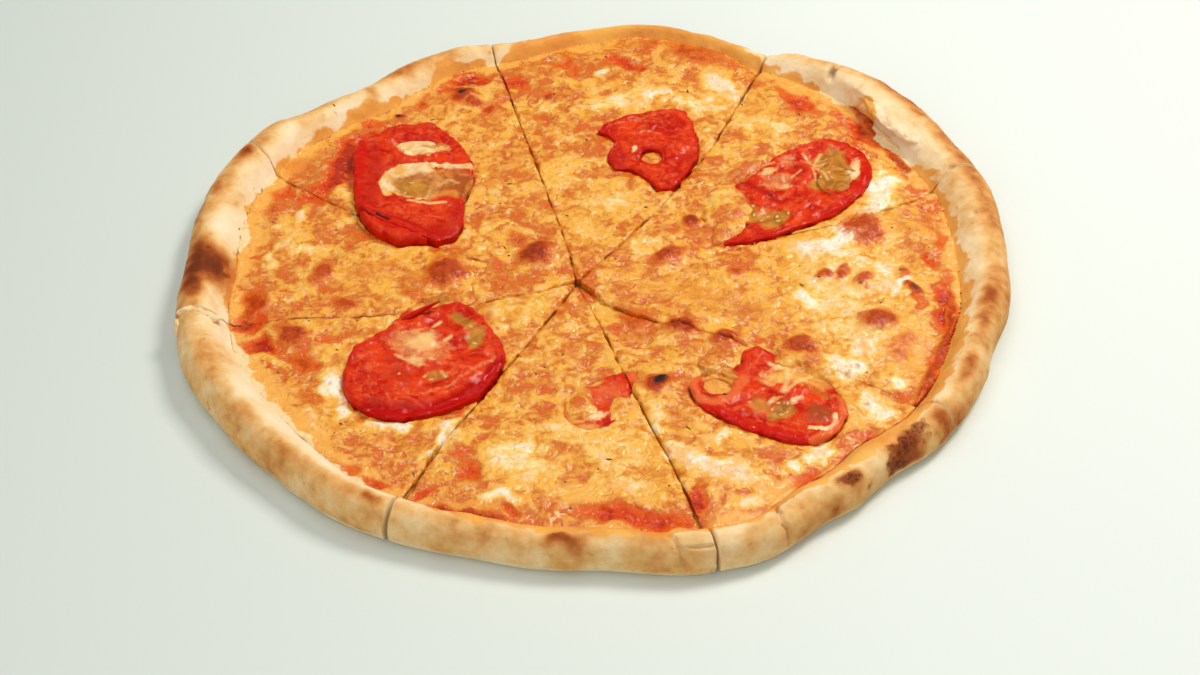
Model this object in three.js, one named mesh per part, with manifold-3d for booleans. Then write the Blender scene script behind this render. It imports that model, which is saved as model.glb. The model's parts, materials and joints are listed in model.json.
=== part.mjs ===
// Margherita pizza, cut into eight slices that still lie together as one round.
// Millimetres, +Z up. The origin is the middle of the underside, +X is right and +Y is the back.
// Each slice is a piece of dough with its share of the rim and a layer of sauce and melted cheese,
// and tomato slices lie in beds in the cheese.
import * as THREE from "three";
import { mergeVertices } from "three/addons/utils/BufferGeometryUtils.js";
import Module from "manifold-3d";

const wasm = await Module();
wasm.setup();

// Sizes of the whole
const DOUGH = 4.4; // dough under the topping
const TOPPING_TOP = 8.4; // level of the cheese above the board
const TOPPING_AT_RIM = 6.9; // the cheese thins where it meets the rim
const THINNING = 14; // how far from the rim that begins
const GAP = 0.35; // between one layer and the next
const CROSSING = new THREE.Vector2(-6.7, -13.4); // where the knife cuts cross
const TIP = 2.2; // the slices' points are blunt from here inwards
const KERF = 0.7; // width of a knife cut

// The rim round the pizza, by the angle that it is at: how far out it reaches, how wide and how tall
// it is, and how far it folds in over the topping, from 0 to 1.
const RIM = [
  { at: 0, reach: 150.5, width: 22, height: 14, fold: 0 },
  { at: 22, reach: 155.5, width: 25, height: 15, fold: 0.1 },
  { at: 34, reach: 155.5, width: 22, height: 16.5, fold: 0.7 },
  { at: 42, reach: 156.5, width: 20, height: 17, fold: 1 },
  { at: 50, reach: 156.5, width: 20, height: 15, fold: 0.2 },
  { at: 58, reach: 155, width: 18, height: 12.5, fold: 0 },
  { at: 62, reach: 148.5, width: 12, height: 11, fold: 0 },
  { at: 70, reach: 153.5, width: 9, height: 10.2, fold: 0 },
  { at: 83, reach: 154, width: 8, height: 10.2, fold: 0 },
  { at: 92, reach: 149, width: 9, height: 10.5, fold: 0 },
  { at: 104, reach: 143.5, width: 12, height: 11.5, fold: 0 },
  { at: 114, reach: 146.5, width: 14, height: 13, fold: 0 },
  { at: 122, reach: 143.5, width: 18, height: 14, fold: 0 },
  { at: 131, reach: 139.5, width: 17, height: 14, fold: 0.1 },
  { at: 140, reach: 144.5, width: 17, height: 14, fold: 0.2 },
  { at: 151, reach: 151.5, width: 22, height: 15, fold: 0.4 },
  { at: 160, reach: 151.5, width: 22, height: 15, fold: 0.2 },
  { at: 178, reach: 149.5, width: 22, height: 15, fold: 0 },
  { at: 190, reach: 151.5, width: 22, height: 16, fold: 0 },
  { at: 203, reach: 154.5, width: 22, height: 16, fold: 0 },
  { at: 215, reach: 153, width: 21, height: 16, fold: 0 },
  { at: 235, reach: 153.5, width: 18, height: 15, fold: 0 },
  { at: 256, reach: 151, width: 17, height: 13.5, fold: 0 },
  { at: 272, reach: 151.5, width: 17, height: 14, fold: 0 },
  { at: 284, reach: 155.5, width: 17, height: 14, fold: 0 },
  { at: 290, reach: 156, width: 17, height: 14, fold: 0 },
  { at: 303, reach: 150, width: 18, height: 14, fold: 0 },
  { at: 312, reach: 147, width: 18, height: 14, fold: 0 },
  { at: 322, reach: 149, width: 18, height: 14, fold: 0 },
  { at: 338, reach: 148.5, width: 18, height: 14.5, fold: 0 },
];
// Small unevenness in the rim's reach: waves round the whole circle, and the share of it that the
// rim's height takes
const RIPPLES = [
  { waves: 9, start: 1, size: 0.45 },
  { waves: 16, start: 4, size: 0.36 },
  { waves: 25, start: 0, size: 0.27 },
];
const HEIGHT_RIPPLE = 0.6;
const HEIGHT_WAVES = 5;

// The rim's section. On the inner slope `inset` is a share of the rim's width in from its outer edge,
// and `rise` a share of the way from the dough's top to the crest. `folded` is the inset where the
// dough folds right over. On the outer face `rise` is a share of the whole height.
const INNER_SLOPE = [
  { inset: 1, folded: 1, rise: 0 },
  { inset: 0.86, folded: 0.86, rise: 0.2 },
  { inset: 0.72, folded: 0.84, rise: 0.58 },
  { inset: 0.56, folded: 0.8, rise: 0.88 },
  { inset: 0.4, folded: 0.52, rise: 1 },
];
const OUTER_FACE = [
  { inset: 0.2, rise: 0.93 },
  { inset: 0.07, rise: 0.74 },
  { inset: 0, rise: 0.46 },
];
const OUTER_FOOT = [
  { inset: 0.14, rise: 0 },
  { inset: 0.03, rise: 0.18 },
];
const CHEESE_EDGE = 1; // index in INNER_SLOPE of the place that the cheese runs up to

// The knife cuts, each by its heading in degrees at these distances from the crossing, going round
// anticlockwise. A slice lies between one cut and the next.
const CUT_DISTANCES = [0, 15, 50, 90, 125, 150];
const CUTS = [
  { name: "right", headings: [-8, -3, 18.5, 19.4, 20.1, 23.3] },
  { name: "back_right", headings: [54, 53, 55, 57.5, 60.3, 61.8] },
  { name: "back", headings: [101, 100, 102.3, 103.1, 103.2, 103.6] },
  { name: "back_left", headings: [162, 161, 160, 154.5, 151, 147.7] },
  { name: "left", headings: [204, 202, 196.5, 192.5, 190.2, 188.3] },
  { name: "front_left", headings: [246, 245, 242.8, 242.2, 243, 244.5] },
  { name: "front", headings: [288, 291, 288.3, 288.9, 288.4, 288.6] },
  { name: "front_right", headings: [318, 314, 327.5, 331.9, 331.5, 329.5] },
];
// How much more each cut gapes at the rim than at the crossing
const GAPE = {
  right: 0.2,
  back_right: 0.8,
  back: 0.4,
  back_left: 0.3,
  left: 0.4,
  front_left: 1.4,
  front: 0.9,
  front_right: 0.3,
};

// How far the mesh's points lie apart
const RIM_COLUMNS = 18;
const CHEESE_STEP = 6;
const DOUGH_STEP = 13;
const BLOCK_STEP = 12;
const TYPICAL_FOOT = 128; // from the crossing to the foot of the rim, near enough to count rows
const SLICE_SPREAD = 0.76; // a slice's angle in radians, near enough to count columns

// Blisters in the cheese: x, y, radius, height
const BLISTERS = [
  [-54.6, -9.7, 7, 2.2],
  [-21.6, 4.3, 7, 2.6],
  [28.4, 1.3, 6.5, 2],
  [29.4, -39.7, 6, 2.4],
  [45.4, -44.7, 6, 2],
  [71.4, -47.7, 7, 2.6],
  [22.4, -66.7, 6, 2.6],
  [98.4, 17.3, 7, 2],
  [99.4, -35.7, 8, 1.8],
  [-100.6, -43.7, 8, 2],
  [-117.6, -20.7, 7, 1.8],
  [-100.6, -7.7, 8, 1.8],
  [-47.6, 101.3, 8, 2.2],
  [97.4, -9.7, 7, 1.6],
];
// The slices' points stand higher where the cheese has drawn together: name of the slice's
// right-hand cut and the extra height
const MOUNDS = { front_right: 2, back_left: 0.9, front: -0.5, left: 0.3 };
const MOUND_REACH = 75;
const SWELL = 0.55; // rise and fall of the cheese
const SWELL_AT_RIM = 0.22;

// Tomato slices: outline, holes as x, y, half width, half depth, how thick they are, how deep the
// bed is, and the way they lean as rise per millimetre along x and y
const TOMATOES = [
  {
    name: "tomato_left_back",
    outline: [
      [-90.6, 68.3], [-76.6, 76.8], [-61.6, 79.3], [-55.6, 71.3], [-49.1, 60.3], [-46.1, 46.3],
      [-49.6, 31.3], [-49.6, 16.3], [-54.6, 6.3], [-62.6, 8.3], [-69.6, 5.8], [-81.6, 14.3],
      [-88.1, 25.3], [-91.1, 46.3],
    ],
    holes: [[-68.6, 65.3, 8, 3.4], [-69.6, 43.8, 10, 10]],
    thick: 5.6,
    bed: 2,
    lean: [-0.02, 0.0],
  },
  {
    name: "tomato_back",
    outline: [
      [0.4, 77.3], [11.4, 86.3], [22.4, 90.8], [33.4, 91.8], [37.9, 80.3], [39.2, 67.3],
      [37.9, 54.3], [33.4, 45.3], [27.4, 40.3], [22.9, 40.8], [19.4, 48.3], [12.4, 53.8],
      [7.4, 54.3], [4.4, 62.3], [8.4, 72.3],
    ],
    holes: [[21.4, 60.8, 4.6, 4.8]],
    thick: 4.6,
    bed: 2,
    lean: [0.02, 0.0],
  },
  {
    name: "tomato_right_back",
    outline: [
      [51.4, 40.3], [61.4, 53.8], [76.4, 66.3], [89.4, 72.8], [100.4, 65.8], [104.4, 55.3],
      [102.9, 44.3], [97.9, 35.3], [89.4, 26.3], [77.4, 18.3], [62.4, 10.8], [46.4, 8.8],
      [54.4, 16.8], [49.9, 28.3],
    ],
    holes: [[91.4, 44.8, 5.2, 7]],
    thick: 4.6,
    bed: 2,
    lean: [0.01, -0.01],
  },
  {
    name: "tomato_left_front",
    outline: [
      [-73.6, -42.2], [-65.6, -30.7], [-56.6, -22.7], [-46.6, -28.7], [-37.6, -40.7], [-31.6, -54.7],
      [-36.6, -71.7], [-45.6, -79.7], [-56.6, -85.7], [-67.6, -87.2], [-78.6, -82.7], [-86.1, -70.7],
      [-83.1, -52.7],
    ],
    holes: [],
    thick: 5.6,
    bed: 2,
    lean: [0, 0.015],
  },
  {
    name: "tomato_right_front",
    outline: [
      [31.9, -69.7], [36.4, -63.7], [49.4, -61.2], [51.4, -52.7], [56.4, -49.7], [61.4, -53.7],
      [76.4, -62.7], [81.9, -73.7], [84.9, -83.7], [80.4, -92.7], [72.4, -97.7], [61.4, -96.2],
      [45.4, -87.7], [35.4, -78.7],
    ],
    holes: [[41.9, -69.5, 5.2, 4.6]],
    thick: 4.4,
    bed: 2,
    lean: [0, 0],
  },
  {
    name: "tomato_front",
    outline: [
      [-11.1, -82.7], [-7.6, -73.7], [-1.6, -67.7], [7.4, -63.2], [14.4, -62.2], [12.4, -69.7],
      [9.9, -79.7], [3.4, -89.2], [-3.6, -91.2],
    ],
    holes: [],
    thick: 3.4,
    bed: 2.6,
    lean: [0, 0],
  },
];
const TOMATO_POINTS = 26; // round an outline
const HOLE_POINTS = 12;
const TOMATO_BEVEL = 0.9;
const SMALLEST_PIECE = 12; // cubic millimetres: a smaller offcut of tomato is left out
const BLOCK_TOP = 40;
const BLOCK_BOTTOM = -10;

const degrees = THREE.MathUtils.degToRad;
const lerp = THREE.MathUtils.lerp;

// The rim's sizes at an angle in degrees, eased from one station to the next.
function rimAt(angle) {
  const turned = THREE.MathUtils.euclideanModulo(angle, 360);
  let after = RIM.findIndex((station) => station.at > turned);
  if (after < 0) after = RIM.length;
  const from = RIM[after - 1];
  const to = RIM[after % RIM.length];
  const span = (after === RIM.length ? 360 : to.at) - from.at;
  const share = THREE.MathUtils.smoothstep((turned - from.at) / span, 0, 1);
  const around = degrees(turned);
  const ripple = RIPPLES.reduce(
    (sum, { waves, start, size }) => sum + size * Math.sin(waves * around + start),
    0,
  );
  return {
    reach: lerp(from.reach, to.reach, share) + ripple,
    width: lerp(from.width, to.width, share),
    height:
      lerp(from.height, to.height, share) + HEIGHT_RIPPLE * ripple * Math.cos(HEIGHT_WAVES * around),
    fold: lerp(from.fold, to.fold, share),
  };
}

// Where a ray from the crossing leaves the pizza: the distance along it and the rim's sizes there.
function edgeAlong(heading) {
  const ray = new THREE.Vector2(Math.cos(heading), Math.sin(heading));
  const along = CROSSING.dot(ray);
  let rim = rimAt(THREE.MathUtils.radToDeg(heading));
  let distance = 0;
  for (let pass = 0; pass < 5; pass += 1) {
    distance = -along + Math.sqrt(along * along - CROSSING.lengthSq() + rim.reach * rim.reach);
    const there = ray.clone().multiplyScalar(distance).add(CROSSING);
    rim = rimAt(THREE.MathUtils.radToDeg(there.angle()));
  }
  return { distance, rim };
}

// A cut's heading in radians at a distance from the crossing.
function headingOf(cut, distance) {
  const last = CUT_DISTANCES.length - 1;
  let after = CUT_DISTANCES.findIndex((mark) => mark > distance);
  if (after < 0) after = last;
  const share = (distance - CUT_DISTANCES[after - 1]) / (CUT_DISTANCES[after] - CUT_DISTANCES[after - 1]);
  return degrees(lerp(cut.headings[after - 1], cut.headings[after], Math.min(share, 1)));
}

// A point of a slice. `across` runs from 0 at its right-hand cut to 1 at its left-hand one, and
// distanceAt gives the distance from the crossing along a heading.
function placeIn(slice, across, distanceAt) {
  let distance = 75;
  let heading = 0;
  for (let pass = 0; pass < 5; pass += 1) {
    const gape = (cut) => (KERF + (GAPE[cut.name] * distance) / CUT_DISTANCES.at(-1)) / 2 / distance;
    const from = headingOf(slice.right, distance) + gape(slice.right);
    const to = headingOf(slice.left, distance) + slice.turn - gape(slice.left);
    heading = lerp(from, to, across);
    distance = distanceAt(heading);
  }
  return {
    x: CROSSING.x + distance * Math.cos(heading),
    y: CROSSING.y + distance * Math.sin(heading),
    heading,
    distance,
  };
}

// Levels of the dough along the rim's inner slope at one of its marked places.
function slopePlace(heading, mark) {
  const { distance, rim } = edgeAlong(heading);
  const inset = lerp(mark.inset, mark.folded ?? mark.inset, rim.fold);
  return {
    distance: distance - inset * rim.width,
    level: lerp(DOUGH, rim.height, mark.rise),
  };
}

// The same on the outer face, whose rise is measured from the board.
function facePlace(heading, mark) {
  const { distance, rim } = edgeAlong(heading);
  return { distance: distance - mark.inset * rim.width, level: rim.height * mark.rise };
}

// Level of the cheese without its blisters.
function cheeseLevel(x, y, slice) {
  const fromCrossing = Math.hypot(x - CROSSING.x, y - CROSSING.y);
  const heading = Math.atan2(y - CROSSING.y, x - CROSSING.x);
  const foot = slopePlace(heading, INNER_SLOPE[0]).distance;
  const thinned = THREE.MathUtils.smoothstep(fromCrossing, foot - THINNING, foot);
  const slow = Math.sin(x / 11 + 1.3) * Math.cos(y / 13 - 0.4);
  const quick = Math.sin((x + y) / 7.3 + 2);
  const mound = (MOUNDS[slice.right.name] ?? 0) * Math.max(0, 1 - fromCrossing / MOUND_REACH) ** 2;
  const swell = lerp(SWELL, SWELL_AT_RIM, thinned) * (slow + 0.6 * quick);
  return lerp(TOPPING_TOP, TOPPING_AT_RIM, thinned) + swell + mound;
}

// Height that the blisters add to the cheese.
function blisterRise(x, y) {
  return BLISTERS.reduce((rise, [cx, cy, radius, height]) => {
    const away = Math.hypot(x - cx, y - cy) / radius;
    return rise + (away < 1 ? height * (1 - away * away) ** 1.5 : 0);
  }, 0);
}

// Fills the strip between two runs of points whose keys both rise, facing (second - first) x along.
function zip(first, second, firstKeys, secondKeys, faces) {
  let i = 0;
  let k = 0;
  while (i < first.length - 1 || k < second.length - 1) {
    const nextFirst = i < first.length - 1 ? firstKeys[i + 1] : Infinity;
    const nextSecond = k < second.length - 1 ? secondKeys[k + 1] : Infinity;
    if (nextFirst <= nextSecond) {
      faces.push(first[i], second[k], first[i + 1]);
      i += 1;
    } else {
      faces.push(first[i], second[k], second[k + 1]);
      k += 1;
    }
  }
}

// One closed solid of a slice's upper and lower rows of points, each list from the tip outwards.
// A row is { columns, distanceAt(heading), levelAt(point) }.
function sliceSolid(slice, upper, lower) {
  const positions = [];
  const faces = [];
  const build = (row) => {
    const points = [];
    const keys = [];
    for (let column = 0; column <= row.columns; column += 1) {
      const point = placeIn(slice, column / row.columns, row.distanceAt);
      points.push(positions.length / 3);
      keys.push(column / row.columns);
      positions.push(point.x, point.y, row.levelAt(point));
    }
    return { points, keys };
  };
  const above = upper.map(build);
  const below = lower.map(build);
  const strip = (a, b) => zip(a.points, b.points, a.keys, b.keys, faces);
  const side = (rows, end) => {
    const points = rows.map((row) => row.points.at(end));
    const keys = points.map((p) =>
      Math.hypot(positions[3 * p] - CROSSING.x, positions[3 * p + 1] - CROSSING.y),
    );
    return { points, keys };
  };
  for (let row = 1; row < above.length; row += 1) strip(above[row - 1], above[row]);
  for (let row = 1; row < below.length; row += 1) strip(below[row], below[row - 1]);
  strip(below[0], above[0]);
  strip(above.at(-1), below.at(-1));
  strip(side(above, 0), side(below, 0));
  strip(side(below, -1), side(above, -1));
  const geometry = new THREE.BufferGeometry();
  geometry.setAttribute("position", new THREE.Float32BufferAttribute(positions, 3));
  geometry.setIndex(faces);
  return geometry;
}

// Rows from the slice's tip to the foot of the rim, `step` apart.
function innerRows(step, most, levelAt) {
  const count = Math.round((TYPICAL_FOOT - TIP) / step);
  return Array.from({ length: count + 1 }, (_, row) => {
    const share = row / count;
    const typical = lerp(TIP, TYPICAL_FOOT, share);
    return {
      columns: THREE.MathUtils.clamp(Math.round((SLICE_SPREAD * typical) / step), 1, most),
      distanceAt: (heading) => lerp(TIP, slopePlace(heading, INNER_SLOPE[0]).distance, share),
      levelAt,
    };
  });
}

const markedRow = (place, mark, rise = 0) => ({
  columns: RIM_COLUMNS,
  distanceAt: (heading) => place(heading, mark).distance,
  levelAt: (point) => place(point.heading, mark).level + rise,
});

// The dough of one slice: flat under the topping, with its share of the rim.
function doughGeometry(slice) {
  const top = innerRows(DOUGH_STEP, RIM_COLUMNS, () => DOUGH);
  top.pop();
  top.push(...INNER_SLOPE.map((mark) => markedRow(slopePlace, mark)));
  top.push(...OUTER_FACE.map((mark) => markedRow(facePlace, mark)));
  const bottom = innerRows(DOUGH_STEP, RIM_COLUMNS / 2, () => 0);
  bottom.push(...OUTER_FOOT.map((mark) => markedRow(facePlace, mark)));
  return sliceSolid(slice, top, bottom);
}

// The sauce and cheese of one slice, down to the dough and a little way up the rim.
function toppingGeometry(slice) {
  const edge = INNER_SLOPE[CHEESE_EDGE];
  const level = ({ x, y }) => cheeseLevel(x, y, slice) + blisterRise(x, y);
  const top = innerRows(CHEESE_STEP, RIM_COLUMNS, level);
  top.at(-1).columns = RIM_COLUMNS;
  top.push(markedRow(slopePlace, edge, 2 * GAP));
  const bottom = innerRows(2 * CHEESE_STEP, RIM_COLUMNS, () => DOUGH + GAP);
  bottom.at(-1).columns = RIM_COLUMNS;
  bottom.push(markedRow(slopePlace, edge, GAP));
  return sliceSolid(slice, top, bottom);
}

// A tall block of one slice's plan, to share out a tomato between the slices that it lies on.
function sliceBlock(slice) {
  const rows = (level) => innerRows(BLOCK_STEP, 2, () => level);
  return sliceSolid(slice, rows(BLOCK_TOP), rows(BLOCK_BOTTOM));
}

// A tomato slice draped on the cheese. `grow` makes it larger all round, to cut its bed.
function tomatoGeometry(tomato, slice, grow) {
  const corners = tomato.outline.map(([x, y]) => new THREE.Vector3(x, y, 0));
  const curve = new THREE.CatmullRomCurve3(corners, true, "centripetal");
  const round = curve.getSpacedPoints(TOMATO_POINTS).slice(0, -1);
  const shape = new THREE.Shape(round.map((p) => new THREE.Vector2(p.x, p.y)));
  for (const [x, y, halfWidth, halfDepth] of tomato.holes) {
    const hole = new THREE.Path();
    hole.absellipse(x, y, halfWidth, halfDepth, 0, 2 * Math.PI, false);
    shape.holes.push(new THREE.Path(hole.getSpacedPoints(HOLE_POINTS).slice(0, -1)));
  }
  const geometry = new THREE.ExtrudeGeometry(shape, {
    depth: tomato.thick - 2 * TOMATO_BEVEL + 2 * grow,
    bevelThickness: TOMATO_BEVEL,
    bevelSize: TOMATO_BEVEL,
    bevelOffset: grow - TOMATO_BEVEL,
    bevelSegments: 1,
  });
  geometry.computeBoundingBox();
  const middle = geometry.boundingBox.getCenter(new THREE.Vector3());
  const position = geometry.getAttribute("position");
  for (let i = 0; i < position.count; i += 1) {
    const x = position.getX(i);
    const y = position.getY(i);
    const leaning = (x - middle.x) * tomato.lean[0] + (y - middle.y) * tomato.lean[1];
    const rest = cheeseLevel(x, y, slice) - tomato.bed + leaning;
    position.setZ(i, position.getZ(i) + TOMATO_BEVEL - grow + rest);
  }
  geometry.deleteAttribute("normal");
  geometry.deleteAttribute("uv");
  return mergeVertices(geometry, 1e-4);
}

function solidOf(geometry) {
  return new wasm.Manifold(
    new wasm.Mesh({
      numProp: 3,
      vertProperties: new Float32Array(geometry.getAttribute("position").array),
      triVerts: new Uint32Array(geometry.index.array),
    }),
  );
}

function geometryOf(solid) {
  const mesh = solid.getMesh();
  const geometry = new THREE.BufferGeometry();
  geometry.setAttribute("position", new THREE.BufferAttribute(mesh.vertProperties, mesh.numProp));
  geometry.setIndex(new THREE.BufferAttribute(mesh.triVerts, 1));
  return geometry;
}

const finish = {
  dough: new THREE.MeshStandardMaterial({ color: "#e8c795", roughness: 0.85, metalness: 0 }),
  topping: new THREE.MeshStandardMaterial({ color: "#e59a45", roughness: 0.4, metalness: 0 }),
  tomato: new THREE.MeshStandardMaterial({ color: "#d8351b", roughness: 0.25, metalness: 0 }),
};

const pizza = new THREE.Group();

function addPiece(name, geometry, material) {
  const mesh = new THREE.Mesh(geometry, material);
  mesh.name = name;
  pizza.add(mesh);
}

const slices = CUTS.map((right, index) => ({
  number: index + 1,
  right,
  left: CUTS[(index + 1) % CUTS.length],
  turn: index + 1 < CUTS.length ? 0 : 2 * Math.PI,
}));

for (const slice of slices) {
  addPiece(`crust_${slice.number}`, doughGeometry(slice), finish.dough);
  let topping = solidOf(toppingGeometry(slice));
  const block = solidOf(sliceBlock(slice));
  for (const tomato of TOMATOES) {
    const shares = solidOf(tomatoGeometry(tomato, slice, 0)).intersect(block).decompose();
    const share = shares.sort((a, b) => b.volume() - a.volume())[0];
    if (!share || share.volume() < SMALLEST_PIECE) continue;
    addPiece(`${tomato.name}_${slice.number}`, geometryOf(share), finish.tomato);
    topping = topping.subtract(solidOf(tomatoGeometry(tomato, slice, GAP)));
  }
  const pieces = topping.decompose().sort((a, b) => b.volume() - a.volume());
  addPiece(`cheese_${slice.number}`, geometryOf(pieces[0]), finish.topping);
}

export default pizza;
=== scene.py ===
"""Margherita pizza: bread, cheese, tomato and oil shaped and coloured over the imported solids."""

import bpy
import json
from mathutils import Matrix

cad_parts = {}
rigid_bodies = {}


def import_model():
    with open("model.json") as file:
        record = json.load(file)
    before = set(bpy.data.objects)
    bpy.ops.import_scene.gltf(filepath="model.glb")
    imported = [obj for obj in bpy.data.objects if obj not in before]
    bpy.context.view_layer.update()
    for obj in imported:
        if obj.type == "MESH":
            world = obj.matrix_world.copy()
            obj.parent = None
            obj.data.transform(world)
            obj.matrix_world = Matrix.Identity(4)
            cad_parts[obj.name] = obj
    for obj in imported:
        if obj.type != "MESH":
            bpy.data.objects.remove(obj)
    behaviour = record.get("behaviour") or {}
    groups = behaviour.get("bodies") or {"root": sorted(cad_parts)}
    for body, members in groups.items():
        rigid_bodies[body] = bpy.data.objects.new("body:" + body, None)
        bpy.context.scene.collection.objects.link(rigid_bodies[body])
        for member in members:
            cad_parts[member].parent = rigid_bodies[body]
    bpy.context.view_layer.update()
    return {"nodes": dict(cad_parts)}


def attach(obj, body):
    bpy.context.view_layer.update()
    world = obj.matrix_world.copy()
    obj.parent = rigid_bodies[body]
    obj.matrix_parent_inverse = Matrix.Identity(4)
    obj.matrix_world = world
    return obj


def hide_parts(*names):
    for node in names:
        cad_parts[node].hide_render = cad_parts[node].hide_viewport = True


bl_info = {
    "name": "Margherita pizza",
    "version": (1, 0, 0),
    "blender": (4, 5, 0),
    "location": "View3D > Sidebar > Pizza",
    "description": "Bakes the looks of a sliced margherita pizza round its solid slices",
    "category": "Object",
}

import functools
import json
import math
import random

import bpy
import numpy as np
from mathutils import Vector
from mathutils.kdtree import KDTree

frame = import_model()

# Blender's unit is the metre: a millimetre in metres, and a metre in millimetres for the patterns' scales
MM = 0.001
METRE = 1000

# The sockets of a Mix node that lays one colour over another, and the output that gives the result
SHARE, LOWER, UPPER, MIXED = 0, 6, 7, 2

SLICES = range(1, 9)
TOMATO_NODES = sorted(name for name in frame["nodes"] if name.startswith("tomato"))
# Where the knife cuts cross, which is where the slices' tips are
CROSSING = np.array([-6.7, -13.4])
# Herb flecks fall within this reach, on what is at least this high, from these random draws
TOPPING_REACH, TOPPING_LEVEL, HERB_SEED = 136, 5, 21
# How far out a zone's soft edge ends, where 1 is the ellipse itself
ZONE_END = 1.35
# Sectors that the rim's reach is measured in, and the steps that a vertex group's weights are rounded to
SECTOR, WEIGHT_STEPS = 4, 40

# All measures below are in millimetres and degrees. A zone is an ellipse seen from above: x, y,
# half length, half width, turn, strength

# Where the cheese is thin and the red sauce shows. Some zones, beside the left back tomato slice and along
# the rim on the right, also paint shadow there in dark red
SAUCE_AND_SHADOW = [
    (-113, 57, 11, 6, 60, 0.42), (-95, 60, 18, 7, 88, 1.3), (-99.6, 46.8, 12, 6.5, 59, 1.1),
    (-104, 37, 6.5, 4, 0, 0.8), (-122, -35, 7, 6, -22, 1.05), (-117.5, -48, 9, 4, -24, 1.1),
    (-92, -45, 4.6, 2.6, 17, 0.5), (-117, 39.4, 6.5, 4.2, -42, 0.75), (-122.6, -23, 7, 4.6, -78, 0.9),
    (-101, -57, 6, 4.6, -73, 1), (-88.7, 75.7, 8, 5, 50, 0.85), (-41, -110, 7.5, 5, -86, 0.75),
    (-44.8, -101.6, 4, 3.3, -76, 0.5), (-80.7, -108.8, 6.5, 3, -44, 0.8),
    (-73.6, -115.8, 4.5, 3.5, -11, 0.8), (-56, -121, 5, 2.2, 50, 0.9), (-26.7, -127.4, 3.6, 2.3, 0, 0.8),
    (1.6, -128.5, 6, 3.4, 0, 0.8), (-97, -74.5, 6.4, 4.2, -81, 0.5), (11, -130.5, 21, 5.4, -12, 1),
    (34, -124, 7.5, 4, 88, 1), (94, -97, 14, 4, 31, 0.95), (68.7, -114, 9, 3.1, 23, 0.7),
    (20.8, -135.3, 5, 3, 0, 0.6), (79.5, 98.8, 12, 5, -45, 1), (106, 77, 16, 5, -56, 1),
    (124.3, -24, 19, 4.2, 84, 1.05), (114.5, -24, 8.5, 2.8, 84, 0.75), (126.5, 13, 8, 2.8, 83, 0.7),
    (106.3, -72, 5.5, 3.2, 3, 0.55), (122.5, 1.4, 6, 2.8, 82, 0.7), (121, -52, 16, 3.4, 66, 0.75),
    (-49.4, 114.3, 12, 3.8, 15, 1), (-58, 107, 5, 4, -75, 0.7), (-31.3, 111, 7, 5.4, -34, 1),
    (-12.5, 123, 5.4, 4.6, 0, 0.8), (10.6, 125.8, 10.5, 5, -25, 0.95), (-87, 85, 6, 4.5, 0, 0.8),
    (-8.4, 117, 6.5, 3.5, 0, 0.6), (-68.4, 97, 3.5, 3, -78, 0.6), (-40.7, 93.7, 3.5, 3, -82, 0.55),
    (15, -32, 6, 4, 0, 0.35), (-22, 104, 4, 3, 0, 0.5),
]
# Where the cheese is thick and cream-coloured
CREAM = [
    (94, -14, 34, 62, 8, 0.46), (12, -106, 46, 22, -6, 0.32), (40, 100, 40, 18, -20, 0.25),
    (-88, -76, 12, 24, 0, 0.3), (50.4, 109, 13.5, 6.5, -60, 1.25), (6.5, 97, 13, 7, 0, 0.7),
    (-18, 95.4, 6, 5, 0, 0.5), (21.4, 105, 11, 5.5, 0, 0.75), (0.6, 119.6, 3, 2.6, 0, 0.8),
    (40, 97, 16, 7, -20, 0.6), (107.4, 44, 13, 8.5, 81, 1), (88, 10, 28, 6.5, 33, 1),
    (74.5, -24, 8, 5.3, 81, 0.9), (104, -4, 7, 6, 60, 0.9), (108.9, -17, 7.5, 3.2, 47, 0.9),
    (86, -60, 11, 7, -45, 0.95), (104, -66.8, 4.5, 3.6, 69, 0.9), (93.6, -51, 8, 6, 78, 0.95),
    (75.5, 5.7, 12, 6, 20, 0.8), (86, -22, 17, 24, 0, 0.62), (-26.5, -105, 14, 13, -81, 0.72),
    (-30, -122.8, 8.5, 3, 0, 0.9), (-95, -87.6, 11, 2.4, -53, 0.95), (-49.4, -93, 16.5, 2.6, 65, 0.95),
    (-66.4, -88.2, 14, 3.4, 12, 0.95), (-87, -74.5, 16, 3.6, -85, 1), (-11, -92, 10, 7, 0, 0.7),
    (38.6, -107.6, 16, 6.8, -19, 0.85), (74.5, -100.4, 9, 5.4, 84, 0.95), (50, -125, 7, 3.3, 0, 0.85),
    (94.5, -80.7, 9.5, 8, 73, 0.85), (47, -114.6, 6, 5, 23, 0.8), (66.6, -107.6, 4, 3.6, 70, 0.8),
    (27, -102.8, 8.5, 4, -47, 0.8), (41.6, -93, 8, 3.2, 17, 0.8), (9.7, -118, 6.5, 3.6, 0, 0.7),
    (8, -100, 22, 14, 0, 0.42), (-109.6, 25.6, 7, 2.2, -84, 0.9), (-113.6, 16, 9.6, 4.4, -82, 0.6),
    (-94, 40, 6, 3, -84, 0.6), (-117.7, -1, 9, 2.6, 85, 0.75), (-105, 6.6, 7, 3.1, 0, 0.6),
    (-113, -53.7, 9, 3.2, -24, 0.7), (-91, -67.5, 12.4, 5.2, -84, 0.75), (-73, -38, 8, 4.4, 72, 0.5),
    (4, 32, 20, 12, 30, 0.42), (-26, -30, 7, 16, -40, 0.5), (16, 8, 12, 7, 0, 0.4),
    (-14, 46, 12, 10, 0, 0.35), (20, -84, 4, 12, 10, 0.7), (-40, 40, 8, 3.5, -30, 0.35),
    (62, 84, 18, 9, -25, 0.5), (104, 32, 14, 7, 40, 0.8), (-4, 18, 4, 10, 0, 0.45),
    (46, 34, 12, 4, 40, 0.4),
]
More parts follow.
